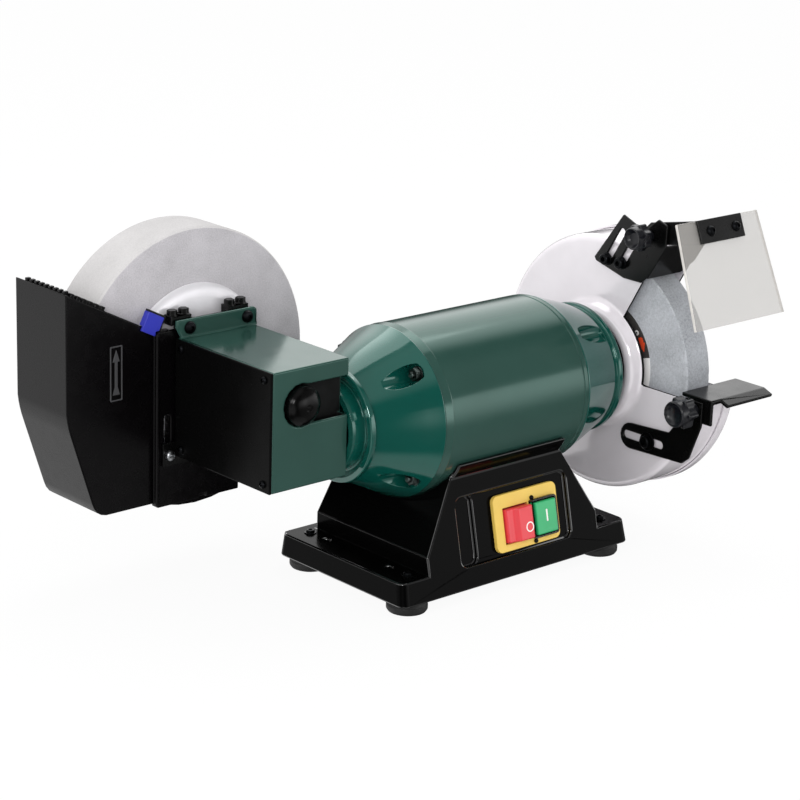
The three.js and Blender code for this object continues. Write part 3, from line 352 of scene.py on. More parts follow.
def paint_faces(piece, finish, chosen):
    """A second finish on the faces that chosen(middle in the layout, normal) picks."""
    piece.data.materials.append(bpy.data.materials[finish])
    index = len(piece.data.materials) - 1
    for face in piece.data.polygons:
        if chosen((face.center - START) / MM, face.normal):
            face.material_index = index


def from_axis(spot):
    """Distance of a place of the layout from the motor's axis."""
    return math.hypot(spot.y - MOTOR[0], spot.z - MOTOR[1])


def rounded_rect(u0, u1, v0, v1, r, steps=6):
    """Corner-rounded rectangle as points (u, v), without the closing one."""
    points = []
    corners = ((u1 - r, v0 + r, -90), (u1 - r, v1 - r, 0),
               (u0 + r, v1 - r, 90), (u0 + r, v0 + r, 180))
    for u, v, start in corners:
        for i in range(steps + 1):
            a = math.radians(start + 90 * i / steps)
            points.append((u + r * math.cos(a), v + r * math.sin(a)))
    return points


def arc(centre, radius, start, end, steps):
    """Points of an arc, angles in degrees."""
    turns = [math.radians(start + (end - start) * i / steps) for i in range(steps + 1)]
    return [(centre[0] + radius * math.cos(a), centre[1] + radius * math.sin(a)) for a in turns]


# ------------------------------------------------------------------------------ finishes

COAT_ROUGHNESS = 0.06
WAVES_AT_ONE = 3.2  # waves a metre that a wave texture of scale 1 shows
PATTERN_LOW, PATTERN_HIGH = 0.3, 0.7  # span that most of a noise pattern falls in


def add_node(tree, kind, sockets=None, **settings):
    """New node, with its settings and the constants on its sockets."""
    node = tree.nodes.new("ShaderNode" + kind)
    for name, value in settings.items():
        setattr(node, name, value)
    for name, value in (sockets or {}).items():
        node.inputs[name].default_value = value
    return node


def maths(tree, operation, *values):
    """Math node that works on numbers and on other nodes' outputs."""
    step = add_node(tree, "Math", operation=operation)
    for socket, value in zip(step.inputs, values):
        if isinstance(value, float):
            socket.default_value = value
        else:
            tree.links.new(value, socket)
    return step.outputs["Value"]


def shader_of(material):
    return material.node_tree.nodes["Principled BSDF"]


def new_finish(name, base, roughness, metallic=0.0, ior=1.5, coat=0.0, alpha=1.0):
    """Material with constants on its shader, under a name that the frame doesn't use."""
    if name in bpy.data.materials:
        raise ValueError(f"the frame already has a material called {name}")
    material = bpy.data.materials.new(name)
    material.use_nodes = True
    constants = {
        "Base Color": base, "Roughness": roughness, "Metallic": metallic, "IOR": ior,
        "Coat Weight": coat, "Coat Roughness": COAT_ROUGHNESS, "Alpha": alpha,
    }
    for socket, value in constants.items():
        shader_of(material).inputs[socket].default_value = value
    return material


def where(material, centre=(0, 0, 0)):
    """Object coordinates, centred on a place of the layout."""
    tree = material.node_tree
    mapping = add_node(tree, "Mapping", {"Location": -place(*centre)})
    tree.links.new(add_node(tree, "TexCoord").outputs["Object"], mapping.inputs["Vector"])
    return mapping.outputs["Vector"]


def grain(material, size, detail=3.0, roughness=0.55):
    """Noise whose patches are about size millimetres across."""
    tree = material.node_tree
    noise = add_node(tree, "TexNoise", {
        "Scale": 1 / (size * MM), "Detail": detail, "Roughness": roughness,
    })
    tree.links.new(where(material), noise.inputs["Vector"])
    return noise.outputs["Fac"]


def turning_marks(material, centre, axis, pitch):
    """Fine rings left by a lathe, about an axis through centre."""
    tree = material.node_tree
    wave = add_node(tree, "TexWave", {
        "Scale": 1 / (pitch * MM) / WAVES_AT_ONE, "Distortion": 0.6, "Detail": 1.0,
    }, wave_type="RINGS", rings_direction=axis)
    tree.links.new(where(material, centre), wave.inputs["Vector"])
    return wave.outputs["Fac"]


def bands(material, axis, pitch):
    """Straight bands across an axis, such as stacked sheets or wound wire."""
    tree = material.node_tree
    wave = add_node(tree, "TexWave", {"Scale": 1 / (pitch * MM) / WAVES_AT_ONE},
                    wave_type="BANDS", bands_direction=axis)
    tree.links.new(where(material), wave.inputs["Vector"])
    return wave.outputs["Fac"]


def tinted(base, factor):
    """The same colour, made lighter or darker."""
    return [min(1.0, part * factor) for part in base[:3]] + [1.0]


def shades(material, pattern, *stops):
    """Colours the surface by a pattern, through stops of (place, colour)."""
    tree = material.node_tree
    ramp = add_node(tree, "ValToRGB")
    steps = ramp.color_ramp.elements
    while len(steps) < len(stops):
        steps.new(0.5)
    for step, (at, shade) in zip(steps, sorted(stops)):
        step.position = at
        step.color = shade
    tree.links.new(pattern, ramp.inputs["Fac"])
    tree.links.new(ramp.outputs["Color"], shader_of(material).inputs["Base Color"])


def mottle(material, pattern, amount):
    """Slight lighter and darker patches of the surface's own colour."""
    base = list(shader_of(material).inputs["Base Color"].default_value)
    shades(material, pattern, (PATTERN_LOW, tinted(base, 1 - amount)),
           (PATTERN_HIGH, tinted(base, 1 + amount)))


def vary_gloss(material, pattern, least, most):
    """Roughness that follows a pattern."""
    tree = material.node_tree
    span = add_node(tree, "MapRange", {
        "From Min": PATTERN_LOW, "From Max": PATTERN_HIGH, "To Min": least, "To Max": most,
    })
    tree.links.new(pattern, span.inputs["Value"])
    tree.links.new(span.outputs["Result"], shader_of(material).inputs["Roughness"])


def emboss(material, pattern, depth):
    """Bump of a depth in millimetres, over any bump that is there already."""
    links = material.node_tree.links
    bump = add_node(material.node_tree, "Bump", {"Distance": depth * MM, "Strength": 1.0})
    normal = shader_of(material).inputs["Normal"]
    if normal.is_linked:
        links.new(normal.links[0].from_socket, bump.inputs["Normal"])
    links.new(pattern, bump.inputs["Height"])
    links.new(bump.outputs["Normal"], normal)


def surfaced(material, roughness, patches, clouds, fine, depth):
    """Adds patches of shade (size, amount), of gloss (size, least, most) and a fine bump."""
    mottle(material, grain(material, patches[0]), patches[1])
    vary_gloss(material, grain(material, clouds[0]), roughness * clouds[1],
               roughness * clouds[2])
    emboss(material, grain(material, *fine), depth)
    return material


def paint(name, base, roughness, peel=0.006, **settings):
    """Sprayed or dipped paint: a faint orange peel and slow changes of gloss."""
    material = new_finish(name, base, roughness, **settings)
    return surfaced(material, roughness, (45, 0.05), (18, 0.85, 1.2), (1.6, 2.0), peel)


def moulded(name, base, roughness, texture=0.012, **settings):
    """Moulded plastic or rubber with a fine even texture."""
    material = new_finish(name, base, roughness, **settings)
    return surfaced(material, roughness, (30, 0.06), (9, 0.85, 1.15), (0.7, 2.0), texture)


def metal(name, base, roughness):
    """Bare or plated metal with small scratches."""
    material = new_finish(name, base, roughness, metallic=1.0)
    return surfaced(material, roughness, (12, 0.08), (3, 0.7, 1.3), (0.6, 4.0), 0.004)


def stone(name, base, spread, size, pits):
    """Bonded abrasive: grains of several shades with pits between them."""
    material = new_finish(name, base, 0.92, ior=1.4)
    tree = material.node_tree
    grit = grain(material, size, 4.0, 0.75)
    cloud = grain(material, 26, 3.0, 0.6)
    mixed = maths(tree, "MULTIPLY_ADD", cloud, 0.35, maths(tree, "MULTIPLY", grit, 0.65))
    shades(material, mixed, (0.36, tinted(base, 1 - spread)), (0.5, list(base)),
           (0.62, tinted(base, 1 + spread * 0.7)))
    emboss(material, grit, pits)
    emboss(material, grain(material, size * 4, 2.0), pits * 1.4)


class GRINDER_OT_finishes(bpy.types.Operator):
    """Paints, plastics, metals, rubber and stones of the grinder"""

    bl_idname = "grinder.finishes"
    bl_label = "Finishes"

    def execute(self, context):
        tint = context.scene.grinder_colours
        paint("green_gloss", tint.green, 0.15, peel=0.002, metallic=0.3)
        paint("bell_paint", tint.bell, 0.12, peel=0.003, metallic=0.3, coat=0.7)
        cast = paint("cast_enamel", tint.cast, 0.16, peel=0.003, ior=1.12)
        emboss(cast, grain(cast, 9, 2.0), 0.006)
        paint("cast_edge", tint.cast, 0.12, peel=0.002, coat=1.0)
        paint("plate_black", tint.plate, 0.24, peel=0.004, ior=1.34)
        paint("cover_black", tint.plate, 0.26, peel=0.003, ior=1.14)
        paint("guard_paint", tint.guard, 0.14, peel=0.0012, metallic=0.14, coat=0.6)
        moulded("cap_plastic", tone("040404"), 0.2, texture=0.004, ior=1.25)
        # Near-black finish laid on hollows, gaps and cut edges: painted shade, not a colour that
        # these parts have
        paint("case_inside", tone("070808"), 0.7, ior=1.3)
        moulded("tank_plastic", tint.plastic, 0.26, texture=0.002, ior=1.27)
        # Grey of the raised level frame and arrow: a painted highlight standing for the light
        # their edges catch
        moulded("tank_mark", tone("3c3c3e"), 0.4, texture=0.002)
        moulded("knob_plastic", tone("0d0e14"), 0.3, texture=0.006)
        moulded("foot_rubber", tone("0c0c0c"), 0.62)
        moulded("switch_black", tone("111112"), 0.4)
        moulded("switch_yellow", tint.yellow, 0.42, texture=0.006)
        moulded("key_red", tint.red, 0.33, texture=0.004, coat=0.3)
        moulded("key_green", tint.start, 0.33, texture=0.004, coat=0.3)
        moulded("key_mark", tone("f4f1ec"), 0.45, texture=0.002)
        moulded("bezel_smoke", tone("232323"), 0.22, texture=0.002, alpha=0.82)
        moulded("wiper_blue", tint.blue, 0.38)
        moulded("pale_moulding", tone("d8d6ce"), 0.5)
        moulded("blotter_paper", tone("3a3836"), 0.6, texture=0.01)
        moulded("label_white", tone("f1f0ee"), 0.35, texture=0.003)
        moulded("label_arrow", tint.arrow, 0.45, texture=0.003)
        metal("polished_steel", tone("d8d8da"), 0.2)
        metal("zinc_steel", tone("b9bcbf"), 0.34)
        metal("black_oxide", tone("1c1d1f"), 0.34)
        metal("dull_zinc", tone("454d4b"), 0.34)
        metal("bush_bronze", tone("b08d4a"), 0.4)
        stone("wet_stone", list(tint.stone), 0.22, 1.1, 0.06)
        stone("wet_rim", tone("c2c0c0"), 0.12, 1.0, 0.06)
        stone("dry_stone", list(tint.grit), 0.24, 1.5, 0.16)
        stone("dry_rim", tone("a6a9ae"), 0.3, 1.6, 0.3)
        dish = new_finish("dish_metal", tone("e2e0e4"), 0.3, metallic=0.25)
        mottle(dish, grain(dish, 20), 0.05)
        emboss(dish, turning_marks(dish, (STONE[0], 0, STONE[1]), "Y", 1.4), 0.0008)
        core = metal("core_steel", tone("8c8f94"), 0.45)
        emboss(core, bands(core, "X", 0.7), 0.08)
        coil = metal("coil_copper", tone("a9643a"), 0.42)
        emboss(coil, bands(coil, "DIAGONAL", 0.9), 0.3)
        clear = new_finish("clear_sheet", tone("bdbab6"), 0.12, ior=1.45, alpha=0.4)
        vary_gloss(clear, grain(clear, 20), 0.08, 0.16)
        mottle(clear, grain(clear, 30), 0.02)
        edge = new_finish("clear_edge", tone("dcd8d3"), 0.3, ior=1.45, alpha=0.85)
        mottle(edge, grain(edge, 6), 0.08)
        vary_gloss(edge, grain(edge, 2), 0.2, 0.4)
        return {"FINISHED"}


NODE_FINISHES = {
    "bottom_plate": "zinc_steel", "run_capacitor": "pale_moulding", "switch_body": "switch_black",
    "stator_core": "core_steel", "rotor_core": "core_steel", "left_winding": "coil_copper",
    "right_winding": "coil_copper", "left_bearing": "polished_steel",
    "right_bearing": "polished_steel", "rotor_shaft": "zinc_steel", "worm": "zinc_steel",
    "worm_gear": "bush_bronze", "front_bush": "bush_bronze", "rear_bush": "bush_bronze",
    "wet_shaft": "zinc_steel", "dry_outer_flange": "zinc_steel", "dry_wheel_nut": "black_oxide",
}


class GRINDER_OT_inner_parts(bpy.types.Operator):
    """Finishes of the frame's own inner parts, whose shapes stay as they are"""

    bl_idname = "grinder.inner_parts"
    bl_label = "Inner parts"

    def execute(self, context):
        for node, finish in NODE_FINISHES.items():
            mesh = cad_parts[node].data
            mesh.materials.clear()
            mesh.materials.append(bpy.data.materials[finish])
        return {"FINISHED"}


# --------------------------------------------------------------------------------- motor

TIE_POINTS = [
    (TIE_RADIUS * math.cos(math.radians(a)), MOTOR[1] + TIE_RADIUS * math.sin(math.radians(a)))
    for a in (45, 135, 225, 315)
]


class GRINDER_OT_housing(bpy.types.Operator):
    """Round motor housing with a raised band at its left seam and a groove near its right end"""

    bl_idname = "grinder.housing"
    bl_label = "Motor housing"

    def execute(self, context):
        r = context.scene.grinder_sizes.housing_radius / MM
        a, b = low("motor_housing", "x"), high("motor_housing", "x")
        profile = [
            (r - 4, a), (r - 1.5, a), (r - 0.9, a + 0.5), (r + 0.3, a + 7), (r, a + 7.8),
            (r, b - 5.4), (r - 0.5, b - 5), (r - 0.5, b - 4.4), (r, b - 4), (r, b - 0.6),
            (r - 0.6, b), (r - 4, b), (r - 4, a),
        ]
        shell = turned("housing_shell", profile, "x", MOTOR, 160)
        soften(shell, 0.25, 2, 25)
        settle(shell, "base", "green_gloss", "motor_housing", slot="green_paint")
        return {"FINISHED"}


def end_bell(name, side, seam, end, neck_end, end_radius, neck, radius, pocket_radius):
    """Cone with a collar and neck, hollow inside, and four pockets where the tie bolts sit."""
    s = side  # -1 for the left bell and 1 for the right one
    collar = end - s * 5
    inside = end - s * 8
    seat = inside - s * 2

    def cone(t):
        fall = t + 0.12 * t * (t - 1)
        return radius + (end_radius - radius) * fall, seam + (collar - seam) * t

    outer = [(0, seam), (radius - 0.5, seam), (radius, seam + s * 0.6)]
    outer += [cone(i / 8) for i in range(1, 9)]
    outer += [
        (end_radius + 1.5, collar + s * 0.5), (end_radius + 1.9, collar + s * 1.1),
        (end_radius + 1.9, end - s * 0.8), (end_radius + 1.2, end), (end_radius - 2.4, end),
        (end_radius - 3, end - s * 0.6), (neck + 0.8, end - s * 2.2), (neck, end - s * 1.6),
        (neck, neck_end), (0, neck_end),
    ]
    hollow = [
        (0, seam - s), (radius - 8, seam - s), (cone(0.15)[0] - 4, seam + s * 6),
        (cone(1)[0] - 4, inside), (21, inside), (21, seat - s * 9), (16.3, seat - s * 9),
        (16.3, seat + s), (8, seat + s), (8, end - s * 4), (neck - 5, end - s * 4),
        (neck - 5, neck_end + s), (0, neck_end + s),
    ]
    bell = turned(name, outer, "x", MOTOR, 128)
    room = turned("room", hollow, "x", MOTOR, 96)
    spans = (seam + s * 6, end - s * 9)
    # 36 and 20 sides keep the corners of these tools off the bell's own edges, and the room is
    # cut last, so that the cuts come out closed and the same in each run
    for y, z in TIE_POINTS:
        wall = disc(pocket_radius + 2.4, seam - s * 2, end - s * 6)
        cut(room, turned("wall", wall, "x", (y, z), 36))
        pocket = [(0, spans[0]), (pocket_radius - 1.5, spans[0]),
                  (pocket_radius, spans[0] + s * 1.5), (pocket_radius, spans[1]), (0, spans[1])]
        cut(bell, turned("pocket", pocket, "x", (y, z), 36))
        hole = disc(2.9, seam - s * 3, spans[0] + s)
        cut(bell, turned("hole", hole, "x", (y, z), 20))
    cut(bell, room)
    return soften(bell, 0.35, 2, 40)


class GRINDER_OT_bells(bpy.types.Operator):
    """Cast end bells of the motor, with leaf-shaped pockets for the tie bolts"""

    bl_idname = "grinder.bells"
    bl_label = "End bells"

    def execute(self, context):
        sizes = context.scene.grinder_sizes
        r, pocket = sizes.housing_radius / MM, sizes.pocket_radius / MM
        left, right = low("motor_housing", "x"), high("motor_housing", "x")
        bell = end_bell("left_bell_cover", -1, left, -124.3, low("left_bell", "x"),
                        40.6, 33.5, r, pocket)
        settle(bell, "base", "bell_paint", "left_bell", slot="green_paint")
        bell = end_bell("right_bell_cover", 1, right, 121, high("right_bell", "x"),
                        48.3, 34.5, r, pocket)
        settle(bell, "base", "bell_paint", "right_bell", slot="green_paint")
        neck_start, neck_radius = 119.7, 45
        # The bell's neck inside the guard's raised ring is painted near-black: painted shade in
        # the gap
        paint_faces(bell, "case_inside", lambda spot, normal: (
            spot.x > neck_start and from_axis(spot) < neck_radius))
        return {"FINISHED"}


class GRINDER_OT_tie_bolts(bpy.types.Operator):
    """Tie bolts through the motor, with a hexagon nut on the left and a screw head on the right"""

    bl_idname = "grinder.tie_bolts"
    bl_label = "Tie bolts"

    def execute(self, context):
        a = low("motor_housing", "x") - 6.3
        b = high("motor_housing", "x") + 6.3
        y, z = TIE_POINTS[0]
        bolt = turned("tie_bolt", [
            (0, a - 7.6), (1.9, a - 7.6), (2.5, a - 7), (2.5, a - 1.2), (5.6, a - 1.2), (5.6, a),
            (2.5, a), (2.5, b), (5.6, b), (5.6, b + 1), (4.6, b + 1), (4.6, b + 3.2),
            (3.2, b + 4.4), (0, b + 4.8),
        ], "x", (y, z), 32)
        nut = turned("nut", ring(2.4, 5.1, a - 5.2, a - 1.1), "x", (y, z), 6)
        bolt = gathered("tie_bolt", [soften(bolt, 0.2, 1), soften(nut, 0.4, 1)])
        for i, (v, w) in enumerate(TIE_POINTS):
            copy = twin(bolt, 0, v - y, w - z)
            copy.name = f"tie_stud_{i + 1}"
            settle(copy, "base", "dull_zinc", f"tie_bolt_{i + 1}", slot="steel")
        bpy.data.objects.remove(bolt)
        return {"FINISHED"}


# ---------------------------------------------------------------------------------- base

FOOT_POINTS = [middle(f"foot_{i}", "x", "y") for i in (1, 2, 3, 4)]


class GRINDER_OT_base(bpy.types.Operator):
    """Cast base: flange, leaning column, switch recess and the saddle under the motor"""

    bl_idname = "grinder.base"
    bl_label = "Cast base"

    def execute(self, context):
        body = copied("base_shell", "base_casting")
        bpy.ops.object.mode_set(mode="EDIT")
        bpy.ops.mesh.select_all(action="SELECT")
        bpy.ops.mesh.quads_convert_to_tris(ngon_method="BEAUTY")
        bpy.ops.object.mode_set(mode="OBJECT")
        body.data.materials.clear()
        for finish in ("cast_enamel", "cast_edge"):
            body.data.materials.append(bpy.data.materials[finish])
        soften(body, context.scene.grinder_sizes.cast_edge / MM, 3, 30, edge_slot=1)
        # settle() leaves one finish, so the rounded edges get their glossier one again after it
        rounded = [face.index for face in body.data.polygons if face.material_index == 1]
        settle(body, "base", "cast_enamel", "base_casting", slot="cast_black")
        body.data.materials.append(bpy.data.materials["cast_edge"])
        for index in rounded:
            body.data.polygons[index].material_index = 1
        return {"FINISHED"}


class GRINDER_OT_feet(bpy.types.Operator):
    """Rubber feet under the base, and the screws that hold them"""

    bl_idname = "grinder.feet"
    bl_label = "Feet"

    def execute(self, context):
        x, y = FOOT_POINTS[0]
        pad = turned("pad", [
            (0, 0), (12.6, 0), (13.8, 0.5), (15, 2.2), (15, 5.4), (14.3, 6.2), (13.9, 8.6),
            (7, 8.7), (7, 9.7), (4, 9.7), (4, 21.2), (0, 21.2),
        ], "z", (x, y), 56)
        soften(pad, 0.4, 2)
        top = FLANGE_TOP
        screw = turned("screw", [
            (0, top), (4.6, top), (4.6, top + 0.7), (3.3, top + 0.8), (3.3, top + 1.8),
            (2.7, top + 2.5), (1.5, top + 2.7), (1.5, top + 1.6), (0, top + 1.6),
        ], "z", (x, y), 32)
        soften(screw, 0.15, 1)
        heads = []
        for i, (u, v) in enumerate(FOOT_POINTS):
            copy = twin(pad, u - x, v - y)
            copy.name = f"foot_pad_{i + 1}"
            settle(copy, "base", "foot_rubber", f"foot_{i + 1}", slot="rubber")
            heads.append(twin(screw, u - x, v - y))
        settle(gathered("foot_screws", heads), "base", "black_oxide", slot="steel")
        bpy.data.objects.remove(pad)
        bpy.data.objects.remove(screw)
        return {"FINISHED"}


class GRINDER_OT_gland(bpy.types.Operator):
    """Ribbed gland at the back of the column, where a supply lead would enter"""

    bl_idname = "grinder.gland"
    bl_label = "Cable gland"

    def execute(self, context):
        a = low("cable_gland", "y")
        profile = [(3.2, a), (7, a), (7, a + 10.3), (11, a + 10.3), (11, a + 15.3), (7.6, a + 16)]
        for i in range(3):
            r = 7.2 - i * 0.7
            start = a + 16.6 + i * 2.4
            profile += [(r, start), (r, start + 1.4), (r - 0.9, start + 1.6),
                        (r - 0.9, start + 2.2)]
        profile += [(4.6, a + 24.3), (3.2, a + 24.3), (3.2, a)]
        gland = turned("gland_boot", profile, "y", middle("cable_gland", "x", "z"), 48)
        settle(soften(gland, 0.25, 2), "base", "foot_rubber", "cable_gland", slot="rubber")
        return {"FINISHED"}


FACE_SPOT = middle("switch_plate", "x", "y", "z")
PLATE_START, PLATE_END = -30, 34.0  # the yellow plate's sides, from its node's middle
KEY_BOTTOM = -15.2  # of the stop key


def key_span(node):
    """Left and right sides of a key, from the middle of the switch plate."""
    return low(node, "x") - FACE_SPOT[0], high(node, "x") - FACE_SPOT[0]


def on_face(piece):
    """Puts a piece, drawn square with the plate's middle at zero, on the leaning face."""
    return carried(piece, FACE_SPOT, -FACE_LEAN)


class GRINDER_OT_switch(bpy.types.Operator):
    """Yellow switch plate with its bezel, two small screws, and the stop and start keys"""

    bl_idname = "grinder.switch"
    bl_label = "Switch"

    def execute(self, context):
        stop, start = key_span("stop_button"), key_span("start_button")
        stop, start = (stop[0] + 1.6, stop[1]), (start[0], start[1] + 2.6)
        windows = [(stop[0] - 0.9, stop[1] + 0.9, -16, 10.9),
                   (start[0] - 0.9, start[1] + 0.9, -15.4, 10.9)]
        outline = [(u, -1.75, v)
                   for u, v in rounded_rect(PLATE_START, PLATE_END, -21.2, 21.2, 5)]
        plate = slab("switch_face", outline, (0, 3.5, 0))
        for u0, u1, v0, v1 in windows:
            cut(plate, block("window", (u0, -9, v0), (u1, 9, v1)))
        on_face(soften(plate, 0.5, 3))
        settle(plate, "base", "switch_yellow", "switch_plate", slot="yellow")

        rim = rounded_rect(start[0] - 2, start[1] + 3.4, -17, 12.2, 2.6)
        bezel = slab("switch_bezel", [(u, -5.2, v) for u, v in rim], (0, 3.4, 0))
        cut(bezel, block("window", (start[0] - 3, -9, -15.2), (start[1] + 1.2, 9, 10.6)))
        on_face(soften(bezel, 0.5, 2))
        settle(bezel, "base", "bezel_smoke", slot="black_plastic")

        heads = []
        for z in (13.4, -19):
            head = turned("head", [(0, -3.7), (1.1, -3.5), (1.7, -2.7), (1.7, -1.7), (0, -1.7)],
                          "y", (8, z), 24)
            slot = block("slot", (7.7, -5, z - 3), (8.3, -3.2, z + 3))
            heads.append(smooth(cut(head, slot)))
        screws = on_face(gathered("switch_screws", heads))
        settle(screws, "base", "black_oxide", slot="steel")

        left, right = stop
        side = [(left, 7.7), (left, -3.6), (left + 1, -4.4), (left + 6.4, -4.6),
                (left + 9, -8.1), (right - 1, -8.1), (right, -7.2), (right, 7.7)]
        key = slab("stop_key", [(u, w, KEY_BOTTOM) for u, w in side], (0, 0, 25.2))
        on_face(soften(key, 1.1, 3))
        settle(key, "stop", "key_red", "stop_button", slot="red")
        mark = turned("stop_mark", ring(2.9, 3.8, -8.4, -7.9), "y", (right - 4.9, -6), 48)
        settle(on_face(soften(mark, 0.12, 1)), "stop", "key_mark")

        left, right = start
        outline = [(u, -7.7, v) for u, v in rounded_rect(left, right, -14.4, 10, 1.2)]
        key = slab("start_key", outline, (0, 15.4, 0))
        on_face(soften(key, 0.9, 3))
        settle(key, "start", "key_green", "start_button", slot="green_button")
        half = (left + right) / 2
        outline = [(u, -8.0, v)
                   for u, v in rounded_rect(half - 0.7, half + 0.7, -5.6, 3.4, 0.3, 2)]
        mark = slab("start_mark", outline, (0, 0.5, 0))
        settle(on_face(soften(mark, 0.12, 1)), "start", "key_mark")
        return {"FINISHED"}


# ---------------------------------------------------------------- dry wheel and its guard

def front_cut(start, end):
    """Prism of the opening at the guard's front, drawn across the motor's axis."""
    lip, roof, slope = 187, 122.4, math.radians(119)  # angles round the motor's axis
    sill, far = -7, 150.0
    turn = math.radians(roof)
    reach = (GUARD_RADIUS * 1.25 - CUT_RADIUS) / math.cos(turn - slope)
    lip_y = CUT_RADIUS * math.cos(math.radians(lip))
    lip_z = CUT_RADIUS * math.sin(math.radians(lip))
    outline = [(-far, sill), (lip_y - 7, sill)]
    for i in range(1, 7):  # rounded corner between the sill and the lip
        t = i / 6
        u = (1 - t) ** 2 * (lip_y - 7) + 2 * t * (1 - t) * (lip_y - 1) + t * t * lip_y
        v = (1 - t) ** 2 * sill + 2 * t * (1 - t) * sill + t * t * lip_z
        outline.append((u, v))
    outline += arc((0, 0), CUT_RADIUS, lip, roof, 18)[1:]
    corner = (CUT_RADIUS * math.cos(turn) + reach * math.cos(slope),
              CUT_RADIUS * math.sin(turn) + reach * math.sin(slope))
    outline += [corner, (-far, corner[1])]
    points = [(start, MOTOR[0] + u, MOTOR[1] + v) for u, v in outline]
    return slab("front_cut", points, (end - start, 0, 0))


def is_cut_edge(spot, normal):
    """True for the faces that the front opening leaves on a round shell, which are painted
    near-black as painted shade.
    """
    u, v = spot.y - MOTOR[0], spot.z - MOTOR[1]
    r = math.hypot(u, v)
    across = abs(normal.y * v - normal.z * u) / max(r, 1)
    return across > 0.5 or (abs(r - CUT_RADIUS) < 0.9 and abs(normal.x) < 0.4)


class GRINDER_OT_guard(bpy.types.Operator):
    """Pressed wheel guard with a raised ring round the neck, and the cover on its far side"""

    bl_idname = "grinder.guard"
    bl_label = "Wheel guard"

    def execute(self, context):
        r = context.scene.grinder_sizes.guard_radius / MM
        near, far = 142.0, low("guard_cover", "x") + 6.7
        outside = [
            (35, 144), (35, 138.6), (36, 136), (37.6, 134.4), (39.6, 133.5), (42, 133.4),
            (44.2, 134.1), (46.2, 136), (47.8, 139), (49, 140.7), (50.6, 141.8), (52.6, near),
        ]
        edge = [(a, b) for b, a in arc((near + 6, r - 6), 6, 180, 90, 8)]
        inner = [(a, b) for b, a in arc((near + 6, r - 6), 4, 90, 180, 6)]
        profile = outside + edge + [(r, far), (r - 2, far)] + inner
        shell = turned("guard_shell", profile + [profile[0]], "x", MOTOR, 192)
        cut(shell, front_cut(120, 200))
        soften(shell, 0.35, 2, 50)
        settle(shell, "base", "guard_paint", "wheel_guard", slot="silver_paint")
        # The opening's cut edges on the guard are painted near-black: painted shade along the
        # sheet's edge
        paint_faces(shell, "case_inside", is_cut_edge)

        out = r + 1.7
        cover = turned("guard_lid", [
            (0, far + 0.3), (r + 0.3, far + 0.3), (r + 0.3, far - 6.7), (out, far - 6.7),
            (out, far + 0.6), (out - 0.5, far + 1.7), (out - 1.6, far + 2.3), (0, far + 2.3),
        ], "x", MOTOR, 192)
        cut(cover, front_cut(120, 220))
        soften(cover, 0.3, 2, 50)
        settle(cover, "base", "guard_paint", "guard_cover", slot="silver_paint")
        # The opening's cut edges on the cover are painted near-black: painted shade along the
        # sheet's edge
        paint_faces(cover, "case_inside", is_cut_edge)
        return {"FINISHED"}


def roughened(piece, strength, size):
    """Pushes a stone's surface in and out a little, as its grains do."""
    grit = bpy.data.textures.new("grit", "CLOUDS")
    grit.noise_scale = size * MM
    only(piece)
    return modified(piece, "DISPLACE", texture=grit, texture_coords="GLOBAL",
                    strength=strength * MM, mid_level=0.5)


def stepped(radius, near, far, bevel, rows):
    """Profile of a wheel whose rim and sides have rows of points for its rough surface."""
    profile = [(BORE, near)]
    profile += [(BORE + (radius - bevel - BORE) * i / rows, near) for i in range(1, rows + 1)]
    count = max(4, rows // 2)
    profile += [(radius, near + bevel + (far - near - 2 * bevel) * i / count)
                for i in range(count + 1)]
    profile += [(BORE + (radius - bevel - BORE) * i / rows, far) for i in range(rows, 0, -1)]
    return profile + [(BORE, far), (BORE, near)]


